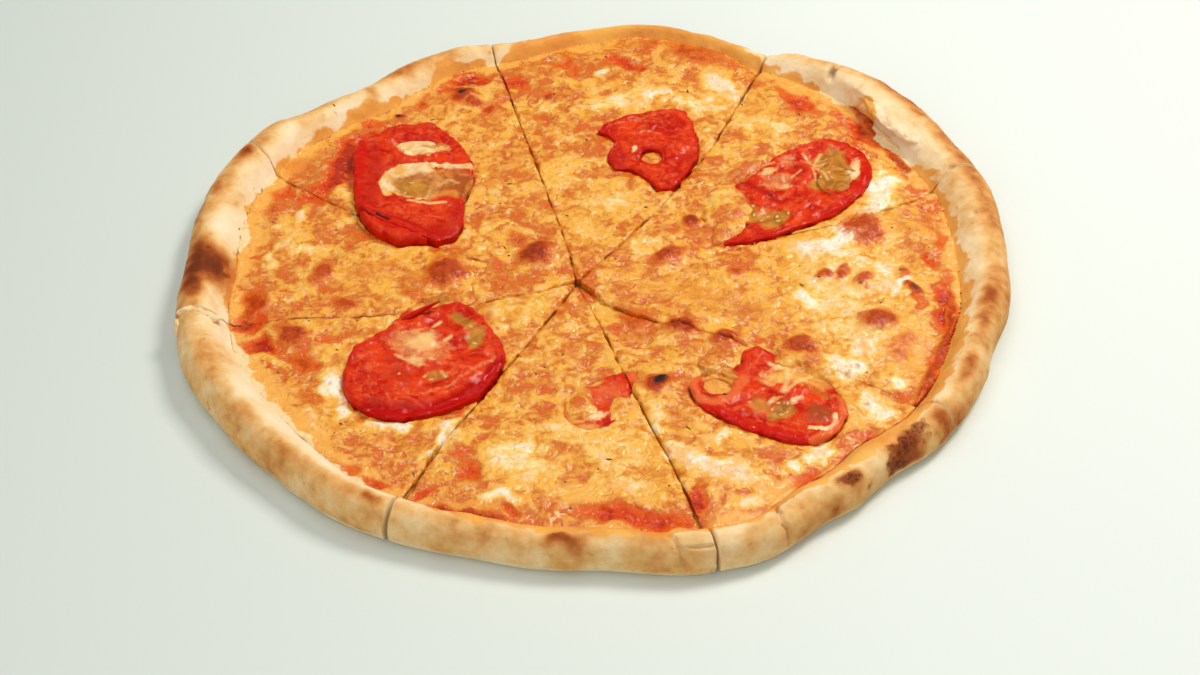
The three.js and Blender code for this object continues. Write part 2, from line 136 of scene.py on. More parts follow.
# Smooth golden places
GOLDEN = [
    (40, -22, 34, 10, -22, 1), (-80, -9, 24, 12, -8, 0.55), (-45, 64, 18, 20, 0, 0.45),
    (27, -87, 9, 6.7, 88, 0.5), (66, 92, 14, 6, -20, 0.6), (112.5, 20.5, 14, 7.4, -29, 0.9),
    (109.5, -49, 21, 9.5, 83, 0.85), (-5, 116, 18, 5, 0, 0.25), (20, -12, 18, 8, -20, 0.6),
]
# Pools of orange oil
OIL_POOLS = [
    (45, -134, 10, 6, 0, 1), (28, -140, 8, 3.4, 0, 1), (62, -119, 9, 6, 4, 1), (4, -136, 9, 3.4, 0, 0.9),
    (-4.9, -120.5, 9.5, 5.8, 0, 0.75), (-38, -126, 17, 3, -9, 0.5), (25.4, 135.6, 15.5, 2, 89, 1),
    (-23.8, 135.6, 9.4, 5.4, 34, 0.9), (-5.6, 139, 10, 5, 11, 0.9), (78, 112, 10, 7, 84, 0.7),
    (-114, 58, 12, 5, 62, 0.8), (100, 50, 9, 4, 60, 0.3), (96, -8, 12, 4, 10, 0.35),
]
# Browned blisters
BROWNED = [
    (30.5, -39.5, 7, 5, 2, 0.95), (44.6, -44.9, 6, 3.8, -30, 0.9), (71.4, -49.3, 6.8, 5.6, -43, 0.95),
    (21.4, -67.4, 5, 4.6, 0, 1.15), (35.9, 22, 4.4, 3.8, 84, 1), (27, 1.6, 8, 4.6, 27, 1),
    (49.7, -8.9, 3.8, 3.2, 0, 0.7), (99, 18, 10, 8, 74, 0.85), (100.5, -34.5, 8, 6, 24, 0.9),
    (81.3, -8.9, 3.5, 2.9, 0, 0.75), (88.6, -8.9, 4.2, 3.2, 80, 0.75), (96.4, -12.4, 5, 3.6, 80, 0.75),
    (110.7, -9, 4.2, 2.6, 81, 0.6), (114.2, -18.2, 3.3, 2.9, 65, 1.15), (14.8, -33.9, 6.5, 4.9, 0, 0.65),
    (106, -48, 10, 5, 82, 0.5), (-21, 4, 6.5, 7.5, 0, 1.15), (-29, 12, 5, 4, 0, 0.7),
    (-54.5, -9, 8.5, 8.5, 10, 0.95), (-99, -8.7, 6, 4.3, -80, 0.8), (-90.7, -25.8, 5.4, 4.1, -11, 0.8),
    (-121.8, -25, 7.5, 4.7, -80, 0.85), (-107, -43, 7.4, 4.8, -48, 0.95), (-77, 88, 2.6, 2.2, -79, 1.1),
    (-101, -57, 5, 4, -73, 0.8), (-53.8, 102.2, 6, 5, -78, 1.15), (-47.7, 97, 5, 3.4, 0, 0.8),
    (-32.8, 130.2, 3.2, 2, 0, 0.9), (34.5, 133, 3.6, 2.2, 88, 0.9), (-40.7, 93.7, 3.2, 2.5, -85, 0.9),
    (-19.2, 102.2, 2.6, 2, -88, 0.85), (41, 133, 17, 9, -34, 0.6), (22, 140, 6, 5, 0, 0.55),
    (-41, -130.5, 15, 4, -12, 0.9), (-120, 31, 5, 4, 0, 0.6), (0, -72, 4, 3, 0, 0.45),
    (-68, 97, 2, 1.6, 0, 0.8), (62, 12, 5, 3, 30, 0.4), (-66, -20, 4, 3, 0, 0.5), (-8, -50, 4, 3, 0, 0.4),
    (10, 60, 4, 3, 0, 0.3), (-16, 74, 5, 3, 0, 0.35), (-62, -122, 5, 2, -20, 0.5),
]
# Places that baked black
CHARRED = [
    (22.2, -67.2, 3.2, 2.4, 0, 1), (-53.6, 103.4, 3, 2, 0, 0.8), (-77, 88.6, 2, 1.6, 0, 0.9),
    (101, -103, 10, 3.4, 66, 1), (106.5, -96, 6, 3.4, 60, 0.85), (82.3, -118.7, 4, 2.8, 17, 1),
    (-141, -4, 8, 3.4, -80, 0.34), (114.4, -18.4, 2, 1.4, 65, 0.75), (98, -109, 3, 2.4, 45, 0.9),
]
# Toasted golden to brown places on the rim
TOASTED = [
    (-131, -59, 22, 8, -66, 0.3), (-140, -27, 16, 7, -79, 0.28), (-136, 32, 20, 8, 77, 0.32),
    (-128, 63, 20, 7, 64, 0.28), (-70, 117, 24, 7, 31, 0.32), (-101, 96, 18, 6, 46, 0.1),
    (143, 13, 20, 8, 95, 0.1), (-114, 60, 15, 6, 60, 0.45), (138, 22, 76, 26, 88, 0.24),
    (116, 92, 42, 18, -50, 0.2), (129, 33, 15, 5, 77, 0.2), (131, 4, 18, 5, 88, 0.22),
    (129, -26, 16, 5, 76, 0.24), (120, -54, 14, 5, 68, 0.2), (108, 66, 14, 6, -58, 0.14),
    (-147, -20, 5, 30, 0, 0.16), (-140, -70, 5, 26, 20, 0.16), (-126, -92, 22, 4, -52, 0.14),
    (141, 12, 36, 9, 84, 0.19), (137, -32, 16, 9, 76, 0.18), (118, 92, 36, 9, -50, 0.16),
    (-40, -141, 34, 5, -12, 0.04), (-79, -124, 10, 5, -47, 0.16), (126, -72, 12, 6, 70, 0.14),
    (18, -147, 30, 5, 5, 0.04), (108, -104, 26, 8, 48, 0.02), (40, 146, 26, 5, -16, 0.2),
    (-115, -89, 8, 7, -41, 0.29), (-103, -105, 14, 5, -51, 0.16), (-91, -116, 9, 3.5, -51, 0.14),
    (-72.4, -128.5, 4.5, 3, -41, 0.29), (-35, -144, 5, 3.3, 0, 0.12), (-11, -146.6, 9, 2.8, 0, 0.44),
    (-111, -79, 8, 5, -79, 0.14), (27.5, -152, 5, 3, 0, 0.04), (52, -144, 11, 3.2, 34, 0.12),
    (79, -127, 5, 4, 73, 0.16), (117, -89, 7, 6, 41, 0.27), (123, -83, 6, 5, 42, 0.24),
    (82.3, -118.7, 6, 4.6, 17, 0.43), (103, -101.5, 13, 6.5, 71, 0.43), (115, 100, 6.5, 2.8, -61, 0.29),
    (124, 82, 7.5, 3, -59, 0.3), (135, 58, 6.5, 3, -69, 0.23), (141.6, -1.3, 12, 4.2, 82, 0.25),
    (138.2, -27, 9, 5, 80, 0.4), (135, -39, 8.5, 5.2, 79, 0.28), (127, -64, 9.5, 4.6, 82, 0.28),
    (139, 47, 6, 4.7, 14, 0.18), (143.3, 34, 8, 2.8, 82, 0.25), (-131.6, 59, 5.5, 4.4, -72, 0.4),
    (-140, 34, 9, 4.6, -80, 0.36), (-137.8, -9, 19, 11.5, -79, 0.86), (-142.2, -22, 12, 6.5, -80, 0.6),
    (-132, 21, 10, 6, -80, 0.09), (-141, -36, 7.4, 4.6, -78, 0.09), (-87.8, 97.5, 5, 4, -68, 0.36),
    (-60.6, 123.6, 7, 2.6, 20, 0.29), (-75, 115, 12, 2.8, 27, 0.3), (-20, 144, 22, 3, 4, 0.14),
    (-110, 78, 14, 3, 48, 0.16), (-146, 12, 3, 26, 0, 0.22), (60, 138, 10, 4, -20, 0.22),
]
# The dark scorched line along the foot of the rim
SCORCHED_LINE = [
    (90.7, -119.5, 9), (95.4, -116.8, 9), (99.5, -112.9, 9), (105.5, -105.8, 9), (114.6, -98, 9),
    (120.3, -91.9, 9), (124.5, -86, 9),
]
# Painted shadow: where the topping meets the rim it is darkened in the browned colours, as the shade of the
# gap under the rim
RIM_EDGE_SHADOWS = [
    [(126.8, -25.5), (125.9, -37.8), (117.2, -57.8), (110.1, -77)],
    [(101, 98), (106, 88), (110.9, 75.4), (114.6, 62.4), (118.6, 55.2)],
]

# The ragged border of the oil that has soaked up the rim: angle and radius from the middle
OIL_BORDER = [
    (0, 134), (6, 134), (14, 136.5), (19, 137.5), (26, 134), (34, 131), (40, 141), (47, 137), (55, 142),
    (61, 140), (66, 146), (74, 151.5), (84, 152.5), (91, 147), (100, 142), (108, 133), (117, 138),
    (121, 129.5), (126, 128.5), (132, 128), (136, 130.5), (140, 130), (145, 133.5), (150, 132.5),
    (155, 134.3), (159.5, 131), (162, 134.2), (166, 134), (174, 128), (181, 132), (187, 133), (195, 134),
    (206, 132.5), (218, 133), (224, 134), (231, 137), (239, 139), (246, 141), (254, 144), (268, 144.5),
    (279, 147), (289, 149), (296, 144), (304, 141), (312, 142), (319, 141), (327, 139.5), (334, 138),
    (342, 136.5), (351, 135),
]
# Cracks in the rim: width, depth, and the points x, y, z that they run through
CRACKS = [
    (1.3, 2, [
        (23, -144, 13.9), (24.9, -147.5, 13.9), (25.4, -149.5, 13.2), (27.4, -150.8, 11.5),
        (27.6, -151.9, 9), (29.7, -152.3, 4.9),
    ]),
    (0.9, 1.2, [(36.9, -149, 12.2), (33.1, -149.8, 12.4), (28.8, -150.2, 12.8), (25.4, -149.5, 13.2)]),
    (1.3, 2, [
        (57.6, -130.4, 11.1), (59, -136.2, 13.7), (59.6, -139, 12.9), (61.8, -140.2, 11), (62, -140.8, 6.2),
        (63.5, -141, 3),
    ]),
    (1.2, 1.2, [(123, 42, 12.5), (129, 45.5, 14.6), (135, 48, 14)]),
    (1, 0.9, [(128, 12, 12), (134, 16, 14.5), (140, 21, 13.5)]),
    (2.6, 1.6, [(86, 100, 10), (92, 108, 13), (97, 117, 14.5)]),
    (1.2, 1.1, [(-148, -37, 14), (-140, -37, 16.4), (-134, -38, 14)]),
]

# How far each kind of flesh stands above the slice's face, from the lowest coat of colour. Some of the deep
# red and black is painted shade: dark lines in creases and gaps
FLESH_HEIGHTS = {
    "skin": 0.2, "wall": -1.8, "deep": -0.3, "melt": -1.2, "curd": 0.1, "pith": 0.2, "pale": 0.2,
    "jelly": -0.5, "gel": -0.6, "vein": 0.1, "brown": 0.5, "black": -0.5,
}
# What shows on each tomato slice: how far it has sunk in, and for each kind of flesh its zones and its
# strokes, which are half width, strength and points
TOMATOES = {
    "left_back": {
        "sink": 0.3,
        "zones": {
            "curd": [
                (-67.3, 63.6, 11.1, 4.3, -1, 1), (-69.6, 60.6, 3.4, 2.8, -6, 1.4),
                (-76.6, 41.7, 8.6, 2.6, -86, 1), (-55.3, 41.7, 3.3, 3.2, -40, 0.8),
            ],
            "gel": [(-63.1, 65.9, 5, 1.9, 0, 0.7), (-68, 40.2, 7.4, 5.6, 20, 1.1)],
            "jelly": [(-60, 41.5, 17, 9, 0, 1.3), (-51.5, 39.9, 9, 7, -83, 1)],
            "deep": [(-57.1, 11.4, 9.5, 5.7, -23, 0.8)],
        },
        "strokes": {
            "curd": [
                (1.9, 1.1, [
                    (-78, 34.6), (-80, 41.7), (-77.8, 47.9), (-72.6, 52), (-64.6, 52.9), (-50.9, 51.5),
                    (-47.1, 51.1),
                ]),
            ],
            "vein": [
                (1.1, 1.3, [(-69.7, 30.2), (-63.3, 30), (-56.1, 30.2)]),
                (1.2, 0.8, [(-58.5, 40.3), (-55.4, 43.4), (-51.6, 42.6)]),
                (0.7, 0.8, [(-63.5, 32.9), (-62.4, 37.2)]),
            ],
            "skin": [
                (4.2, 1.2, [(-91.7, 69.4), (-90.5, 50.2), (-90.3, 28.5)]),
                (5.5, 0.8, [(-88, 26), (-74, 16), (-62, 7)]),
            ],
            "deep": [
                (5, 0.6, [(-52, 30), (-52, 14)]), (5, 0.6, [(-84, 62), (-84, 30)]),
                # Painted shadow: the dark line where the upper layer of the slice lies over the lower one
                (1.3, 0.9, [(-86.8, 25), (-72.2, 19.5), (-62.3, 12.2), (-59.4, 7.2)]),
                (1, 0.5, [(-80.6, 73.6), (-68, 75.5), (-60.3, 75.9)]),
            ],
            # Painted shadow: the dark gap between the two layers of the slice
            "black": [(0.8, 1.2, [(-81.1, 22.6), (-78.6, 20.7), (-76.1, 19)])],
        },
    },
    "back": {
        "sink": 1.3,
        "zones": {
            "curd": [(14, 65.1, 2.4, 1.2, 60, 0.8)],
            "deep": [(8.7, 59.5, 8.1, 4.8, 89, 0.75), (36.9, 61.1, 13.7, 2.9, 83, 0.5)],
        },
        "strokes": {
            "deep": [
                # Painted shade in the slice's wrinkles
                (0.8, 0.7, [(11.8, 83.5), (20.1, 86), (27.4, 84.3), (33.6, 78.9)]),
                (0.7, 0.6, [(16, 72.4), (20.8, 70.7), (25.6, 66.7), (26.9, 61)]),
            ],
            "pith": [
                (0.7, 0.55, [(15.1, 73.8), (19, 76.9), (25.2, 75.6)]),
                (0.7, 0.4, [(5, 81), (15.2, 84.3), (23, 88.1)]),
            ],
        },
    },
    "right_back": {
        "sink": 1.4,
        "zones": {
            "gel": [
                (89.8, 56.1, 10, 7.1, 87, 1), (85.6, 45.4, 7.3, 4.7, 52, 0.8),
                (66.9, 21.8, 6.7, 5.2, 43, 1), (56.5, 25.6, 6.2, 5.4, -56, 0.9),
            ],
            "jelly": [
                (84.8, 43, 5.3, 4.3, 8, 0.8), (51.4, 34, 6.4, 5.7, 9, 0.9), (61.9, 24.6, 4.7, 3.5, 84, 0.8),
            ],
            "curd": [
                (96.4, 48.8, 11.4, 2.6, 68, 1.1), (65.6, 51.2, 5.5, 2, 28, 0.7),
                (72.2, 40.6, 2.9, 2.2, 9, 0.5),
            ],
            "pith": [(68.1, 44, 7.8, 5.9, -27, 0.6), (73.5, 57.1, 6.4, 3.7, 60, 0.5)],
            "melt": [(48.6, 21.9, 10.3, 6.9, 86, 1), (50.8, 47.3, 6.5, 5.8, 10, 0.9)],
            "deep": [
                (76, 60, 2.6, 2.5, 60, 0.8), (77.9, 52.7, 4.1, 3.9, 35, 0.8),
                (74.8, 48.8, 2.6, 2.3, 69, 0.7), (79.8, 28.3, 3.8, 1.9, -54, 0.8),
            ],
        },
        "strokes": {
            "deep": [
                (2.4, 0.8, [(56.5, 44.4), (62, 38.2), (69.1, 32.1)]),
                (0.8, 0.7, [(93.7, 37.3), (98.1, 46.4), (98.2, 54.6), (95.4, 59.5), (90.4, 64)]),
            ],
            "skin": [
                (2.7, 0.95, [
                    (57.7, 8.6), (69.2, 13.6), (77.9, 17.2), (86.9, 23.7), (96.4, 34.9), (102.6, 47.3),
                    (104.1, 58), (101.6, 64), (96.1, 69.4), (89.2, 71.9),
                ]),
            ],
            "vein": [
                (0.9, 1.2, [(82.8, 55.6), (86.2, 62.8)]), (0.9, 1, [(82.2, 56.1), (79.2, 62.2)]),
                (0.9, 1.1, [(82.8, 55.6), (88.9, 54.6)]),
                (0.8, 1, [(83, 54.6), (86.2, 49.7), (87.6, 45.9)]), (0.8, 0.9, [(82.4, 53.6), (83, 45.9)]),
                (0.7, 0.9, [(82.8, 56.1), (88, 59.5)]), (0.7, 0.9, [(81.7, 57.1), (78.3, 58.5)]),
                (0.7, 0.9, [(74.1, 46.8), (77.8, 51.2)]), (1, 0.9, [(62.8, 53.6), (67.6, 56.6)]),
            ],
        },
    },
    "left_front": {
        "sink": 0.4,
        "zones": {
            "pith": [(-61.2, -51.8, 14.5, 9.5, -34, 0.7), (-60, -50.5, 8.5, 5.5, -34, 1.2)],
            "melt": [(-55.5, -26, 11.5, 4.6, 24, 1.3)],
            "vein": [(-58.7, -48.6, 3.8, 3.1, -52, 1), (-63.1, -59.1, 4.8, 2, -20, 1)],
            "jelly": [(-54.2, -67.4, 4.8, 3.4, -3, 0.75)],
            "gel": [(-46.3, -38.7, 5.4, 3.7, -49, 1), (-41.7, -46.9, 6.2, 3.6, -84, 1)],
            "deep": [
                (-66.4, -66.6, 8.3, 5.1, -18, 0.5), (-71.1, -58.7, 4.1, 3.2, -80, 0.55),
                (-52.3, -42, 4, 2.3, 85, 0.5),
            ],
        },
        "strokes": {
            "wall": [
                (3.3, 1.1, [
                    (-77.3, -82.6), (-69.4, -84.5), (-59.1, -84.1), (-51.5, -80.3), (-43.9, -75.3),
                    (-37.4, -69), (-32.7, -60.3),
                ]),
            ],
            "pith": [
                (1.2, 0.36, [(-71, -76.4), (-61.1, -76.4), (-50.8, -72.5), (-43.8, -65.8), (-34.6, -57.9)]),
            ],
            "vein": [
                (0.8, 0.9, [(-65.2, -51.8), (-58.5, -47.3)]), (1, 1.3, [(-56.6, -42), (-54.4, -39.1)]),
                (1, 1.2, [(-52.2, -49.1), (-50.2, -47.2)]),
                (1, 1, [(-68.8, -56.7), (-64.1, -60.7), (-59, -61.5)]),
                (0.7, 0.9, [(-57.8, -59.1), (-54.9, -59.5)]), (0.7, 0.6, [(-67.1, -45.7), (-60.8, -44)]),
                (0.7, 0.9, [(-52.8, -64.7), (-50.8, -67.8)]),
            ],
            "skin": [(1, 0.8, [(-85.4, -72.1), (-85.3, -62.7), (-81.6, -53), (-74.5, -47.3)])],
        },
    },
    "right_front": {
        "sink": 1.4,
        "zones": {
            "melt": [
                (73.3, -63, 12.6, 8.2, -29, 1), (42.4, -65.8, 7.4, 6.3, 82, 1),
                (62.7, -64.6, 6, 5.5, 25, 0.7),
            ],
            "curd": [
                (59.9, -77.1, 3.3, 1.6, 21, 0.6), (67.2, -77.9, 3, 1.8, 40, 0.6),
                (63, -59.8, 3.2, 1.8, 1, 0.7),
            ],
            "pith": [(60, -66.2, 5.9, 4, 3, 0.6)],
            "gel": [(62.2, -82.5, 5.8, 4.8, 7, 0.85)],
            "jelly": [(54.6, -79.8, 4.9, 3.9, 82, 0.9), (76.8, -74, 6.1, 3.7, -37, 0.45)],
            "deep": [
                (60.2, -72.5, 1.8, 1.7, 28, 0.8), (73.3, -71.7, 2.4, 1.7, -20, 0.7),
                (70.2, -62.6, 1.7, 1.6, 46, 0.5),
            ],
            "brown": [(75.3, -84.8, 5.2, 4.9, 54, 1.1)],
        },
        "strokes": {
            "skin": [
                (2.6, 1.2, [
                    (33.2, -74), (38.9, -81.8), (45.5, -85.6), (51.5, -90.2), (59, -93.2), (66.6, -96.2),
                    (74.2, -96.9),
                ]),
            ],
            "pale": [
                (2.5, 1.1, [
                    (34.8, -63), (32.4, -70.1), (34.2, -76), (41.6, -78.3), (47, -74), (50.5, -66.2),
                ]),
                (2.5, 1.1, [(83.9, -77.1), (84.2, -87.1), (79.5, -93.9), (73.2, -96.9)]),
                (0.7, 0.7, [(51.6, -76.4), (57.1, -71.7)]),
            ],
            "vein": [
                (1.4, 1.3, [(64, -74), (65.8, -66.2), (66.1, -61), (60.4, -59)]),
                (0.9, 1, [(65.4, -68.6), (69.7, -57.8)]),
                (1.3, 1.2, [(64.8, -73.6), (69.4, -67.8), (74.6, -63.8)]),
            ],
            "curd": [(1.1, 1, [(80.7, -85.2), (80.9, -89.4), (77.1, -92.4), (72, -91.3)])],
            "black": [(0.8, 1.2, [(43.9, -73.4), (44.2, -73.9)])],
        },
    },
    "front": {
        "sink": 1,
        "zones": {
            "pale": [(5, -73.4, 9.3, 6.6, 0, 0.62), (12.8, -63.9, 4.5, 3, 89, 0.7)],
            "melt": [
                (-6.2, -81.3, 8, 6.3, -89, 0.9), (-1.3, -92, 9, 4.6, 0, 1.2), (-1.9, -66.9, 5.9, 3, 0, 0.7),
                (8.8, -82.1, 4.4, 4.3, 12, 0.7),
            ],
            "curd": [(-1.3, -83.5, 6.3, 3.4, 0, 0.62)],
            "deep": [(2.5, -79.2, 3.4, 1.9, 0, 0.45)],
        },
        "strokes": {
            "deep": [(1.4, 0.9, [(-0.4, -90.7), (2, -89.9), (4.7, -88.8)])],
            "pale": [(1.4, 0.8, [(-10.5, -82.1), (-8.1, -77.4), (-4.7, -74.9)])],
        },
    },
}
# Pieces of the slices that lie deeper than the rest of their slice, and how much
DEEPER = {"tomato_left_front_4": 2.4}
# What fills the holes of the slices: slice, x, y, half length, half width, level of its top, kind of flesh
FILLS = [
    ("left_back", -68.6, 65.3, 8, 3.4, 11.4, "curd"), ("left_back", -69.6, 43.8, 10.6, 10.6, 11.4, "curd"),
    ("back", 21.4, 60.8, 4.6, 4.8, 9.6, "melt"), ("right_back", 91.4, 44.8, 6.2, 8, 11.7, "gel"),
    ("right_front", 41.9, -69.5, 6.2, 5.6, 10.4, "melt"),
]
# Cheese run over the slices: x, y, half length, half width, turn, level of its top
CHEESE_FILMS = [
    (49.4, 27.5, 19, 11, 87, 10.8), (58.1, 54.5, 15, 5.5, 36, 10.8), (73.2, -56.4, 15, 6.5, -23, 10.8),
    (42.4, -57.6, 8, 6.5, 7, 10.6), (-4.5, -78, 7, 10, 0, 9.8), (8, -80, 6, 8, 0, 9.6),
]
# Tomato seeds: x, y, turn
SEEDS = [
    (-71.5, 36.5, 80), (-63, 33.7, 70), (-69.4, 42.6, 20), (55.5, 34, 60), (56.6, 27.4, 80),
    (58.6, 29.5, 60), (61.2, 21.8, 40), (63.9, 24.6, 20), (67.2, 23.7, 60), (71.5, 25.5, 80),
    (67.5, 20.7, 10), (58.8, 25.1, 80), (85.1, 47.3, 60), (88, 50.2, 20), (-43.7, -42.2, -40),
    (-42.1, -49.8, -20), (-67.2, -66.2, 80), (-58.4, -67, 60), (-56, -68.4, 20), (-51.5, -67.4, -60),
    (59.7, -81.8, 70), (61.9, -79.5, 20), (65, -79.5, 80), (62.7, -84.1, 0),
]
# A sliver of skin that has curled up off the front left slice: x, y, z, thickness
CURL = [
    (-68.9, -38.9, 10.8, 0.7), (-66.8, -38.1, 12, 1.1), (-64, -37.1, 13, 1.15), (-60.9, -35.6, 14, 0.95),
    (-57.8, -34.1, 14.8, 0.7), (-54.8, -32.7, 15.5, 0.25),
]
# Torn bread: x, y, z, half length, half width, half height, turn
TORN_BREAD = [
    (-143.5, -35.5, 13.5, 4.2, 2.2, 1.9, 10), (-138, -38, 14.6, 3.2, 1.6, 1.3, -20),
    (-146.4, -39.5, 9.5, 1.9, 3.6, 2.6, 5), (-144.8, -45, 6.5, 1.6, 5, 2.4, 12),
    (-133, -39.5, 13.4, 3, 1.5, 1, -10),
]
# The lobe of the rim that has folded inward over the topping at the back right, in the same way
LOBE = (117, 82, 13.2, 21, 8.5, 2.6, -61)


def linear(colour):
    """An sRGB hex colour as the linear RGBA that a shader socket takes."""
    channels = [int(colour[i : i + 2], 16) / 255 for i in (1, 3, 5)]
    return [c / 12.92 if c <= 0.04045 else ((c + 0.055) / 1.055) ** 2.4 for c in channels] + [1.0]


def add_node(tree, kind, sockets=(), out=0, stops=(), **settings):
    """Adds a shader node with its settings and links, and returns one of its outputs. Sockets are given by
    name or in the node's own order, as a value, a hex colour or another node's output. A colour ramp takes
    stops of position and colour, from its first to its last."""
    node = tree.nodes.new("ShaderNode" + kind)
    for name, value in settings.items():
        setattr(node, name, value)
    for key, value in sockets.items() if isinstance(sockets, dict) else enumerate(sockets):
        if isinstance(value, bpy.types.NodeSocket):
            tree.links.new(value, node.inputs[key])
        else:
            node.inputs[key].default_value = linear(value) if isinstance(value, str) else value
    for index, (position, colour) in enumerate(stops):
        marks = node.color_ramp.elements
        mark = marks[0] if index == 0 else marks[-1] if index == len(stops) - 1 else marks.new(position)
        mark.position, mark.color = position, linear(colour)
    return node.outputs[out] if node.outputs else None


def smoothstep(low, high, value):
    """0 below low, 1 above high, eased between them."""
    t = np.clip((value - low) / (high - low), 0, 1)
    return t * t * (3 - 2 * t)


def activate(piece):
    """Selects one piece alone and makes it the active one."""
    bpy.ops.object.select_all(action="DESELECT")
    piece.select_set(True)
    bpy.context.view_layer.objects.active = piece


def apply_modifier(piece, kind, **settings):
    """Adds a modifier with its settings and applies it."""
    activate(piece)
    modifier = piece.modifiers.new(kind.title(), kind)
    for name, value in settings.items():
        setattr(modifier, name, value)
    bpy.ops.object.modifier_apply(modifier=modifier.name)


def copy_of_node(name, piece_name):
    """A merged copy of a CAD node's mesh as a piece of its own, standing for that node."""
    activate(frame["nodes"][name])
    bpy.ops.object.duplicate()
    piece = bpy.context.view_layer.objects.active
    piece.name = piece_name
    piece.data.name = piece_name
    for key in list(piece.keys()):
        del piece[key]
    piece.data.materials.clear()
    bpy.ops.object.mode_set(mode="EDIT")
    bpy.ops.mesh.select_all(action="SELECT")
    bpy.ops.mesh.remove_doubles(threshold=0.01 * MM)
    bpy.ops.object.mode_set(mode="OBJECT")
    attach(piece, "root")
    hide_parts(name)
    return piece


def placed(primitive, name, place, scale, turn=0, **size):
    """A new piece from a primitive that is put at its place, scaled and turned."""
    bpy.ops.object.select_all(action="DESELECT")
    primitive(location=[along * MM for along in place], **size)
    piece = bpy.context.active_object
    piece.name = name
    piece.scale = scale
    piece.rotation_euler = (0, 0, math.radians(turn))
    bpy.ops.object.transform_apply(location=True, rotation=True, scale=True)
    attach(piece, "root")
    return piece


def lump(name, place, half_sizes, turn, spacing):
    """A rounded lump whose points lie `spacing` millimetres apart."""
    ball = bpy.ops.mesh.primitive_uv_sphere_add
    piece = placed(ball, name, place, half_sizes, turn, segments=48, ring_count=24, radius=MM)
    apply_modifier(piece, "REMESH", mode="VOXEL", voxel_size=spacing * MM)
    return piece


def strew(name, spots, subdivisions, material):
    """One piece of many small grains, from the place, half sizes and turns of each."""
    bpy.ops.object.select_all(action="DESELECT")
    grains = []
    for place, half_sizes, turns in spots:
        location = [along * MM for along in place]
        bpy.ops.mesh.primitive_ico_sphere_add(subdivisions=subdivisions, radius=MM, location=location)
        grain = bpy.context.active_object
        grain.scale = half_sizes
        grain.rotation_euler = turns
        grains.append(grain)
    for grain in grains:
        grain.select_set(True)
    bpy.ops.object.join()
    bpy.ops.object.transform_apply(location=True, rotation=True, scale=True)
    piece = bpy.context.active_object
    piece.name = name
    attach(piece, "root")
    finish_piece(piece, material)


def finish_piece(piece, material):
    """Gives a piece its material and shades it smooth."""
    piece.vertex_groups.clear()
    piece.data.materials.clear()
    piece.data.materials.append(material)
    activate(piece)
    bpy.ops.object.shade_smooth()


def points_of(piece):
    """The piece's points in millimetres."""
    flat = np.zeros(len(piece.data.vertices) * 3, np.float32)
    piece.data.vertices.foreach_get("co", flat)
    return flat.reshape(-1, 3).astype(float) / MM


def normals_of(piece):
    """The piece's point normals."""
    flat = np.zeros(len(piece.data.vertices) * 3, np.float32)
    piece.data.vertices.foreach_get("normal", flat)
    return flat.reshape(-1, 3).astype(float)


def store(piece, **layers):
    """Keeps numbers for the piece's points under their names, for its material to read."""
    for name, values in layers.items():
        layer = piece.data.attributes.new(name, "FLOAT", "POINT")
        layer.data.foreach_set("value", (np.zeros(len(layer.data)) + values).astype(np.float32))


def weigh(piece, name, values):
    """A vertex group with the given weights from 0 to 1, rounded to a few steps."""
    group = piece.vertex_groups.new(name=name)
    steps = np.round(np.clip(values, 0, 1) * WEIGHT_STEPS).astype(int)
    for step in range(1, WEIGHT_STEPS + 1):
        members = np.flatnonzero(steps == step)
        if len(members):
            group.add(members.tolist(), step / WEIGHT_STEPS, "REPLACE")
    return name


def relief_texture(name, size, depth):
    """A procedural cloud texture whose features are `size` millimetres across."""
    texture = bpy.data.textures.get(name) or bpy.data.textures.new(name, "CLOUDS")
    texture.noise_scale = size * MM
    texture.noise_depth = depth
    return texture


def emboss(piece, texture, height, group="", middle=0.5, direction="NORMAL"):
    """Raises and lowers the surface by a texture, `height` millimetres from lowest to highest."""
    apply_modifier(piece, "DISPLACE", texture=texture, strength=height * MM, mid_level=middle,
                   vertex_group=group, direction=direction, texture_coords="LOCAL")


def shift(piece, height, name, weights, direction="NORMAL"):
    """Moves the surface by `height` millimetres times the weights from 0 to 1."""
    if weights.max() > 0:
        apply_modifier(piece, "DISPLACE", strength=height * MM, mid_level=0, direction=direction,
                       vertex_group=weigh(piece, name, weights))


def zone(points, spots, soft, wander):
    """How strongly each point lies in the spots. Their soft edge starts at `soft` of the way out, and their
    outline wanders by about `wander` millimetres."""
    # Waves of about 20 and 9 mm bend the outline both ways
    x = points[:, 0] + wander * (np.sin(points[:, 1] / 2.9 + 0.7) + 0.6 * np.sin(points[:, 1] / 1.3))
    y = points[:, 1] + wander * (np.sin(points[:, 0] / 3.3 + 2.1) + 0.6 * np.sin(points[:, 0] / 1.5))
    total = np.zeros(len(points))
    for cx, cy, half_length, half_width, turn, strength in spots:
        c, s = math.cos(math.radians(turn)), math.sin(math.radians(turn))
        along = ((x - cx) * c + (y - cy) * s) / half_length
        across = (-(x - cx) * s + (y - cy) * c) / half_width
        total = np.maximum(total, strength * (1 - smoothstep(soft, ZONE_END, np.hypot(along, across))))
    return total


def near_path(points, path):
    """Distance of each point from a run of straight stretches."""
    nearest = np.full(len(points), np.inf)
    for start, end in zip(path[:-1], path[1:]):
        a, b = np.array(start, float), np.array(end, float)
        along = np.clip(((points - a) @ (b - a)) / ((b - a) @ (b - a)), 0, 1)
        nearest = np.minimum(nearest, np.linalg.norm(points - (a + along[:, None] * (b - a)), axis=1))
    return nearest


def angle_of(points):
    """Angle of each point round the pizza, in degrees from 0 to 360."""
    return np.degrees(np.arctan2(points[:, 1], points[:, 0])) % 360


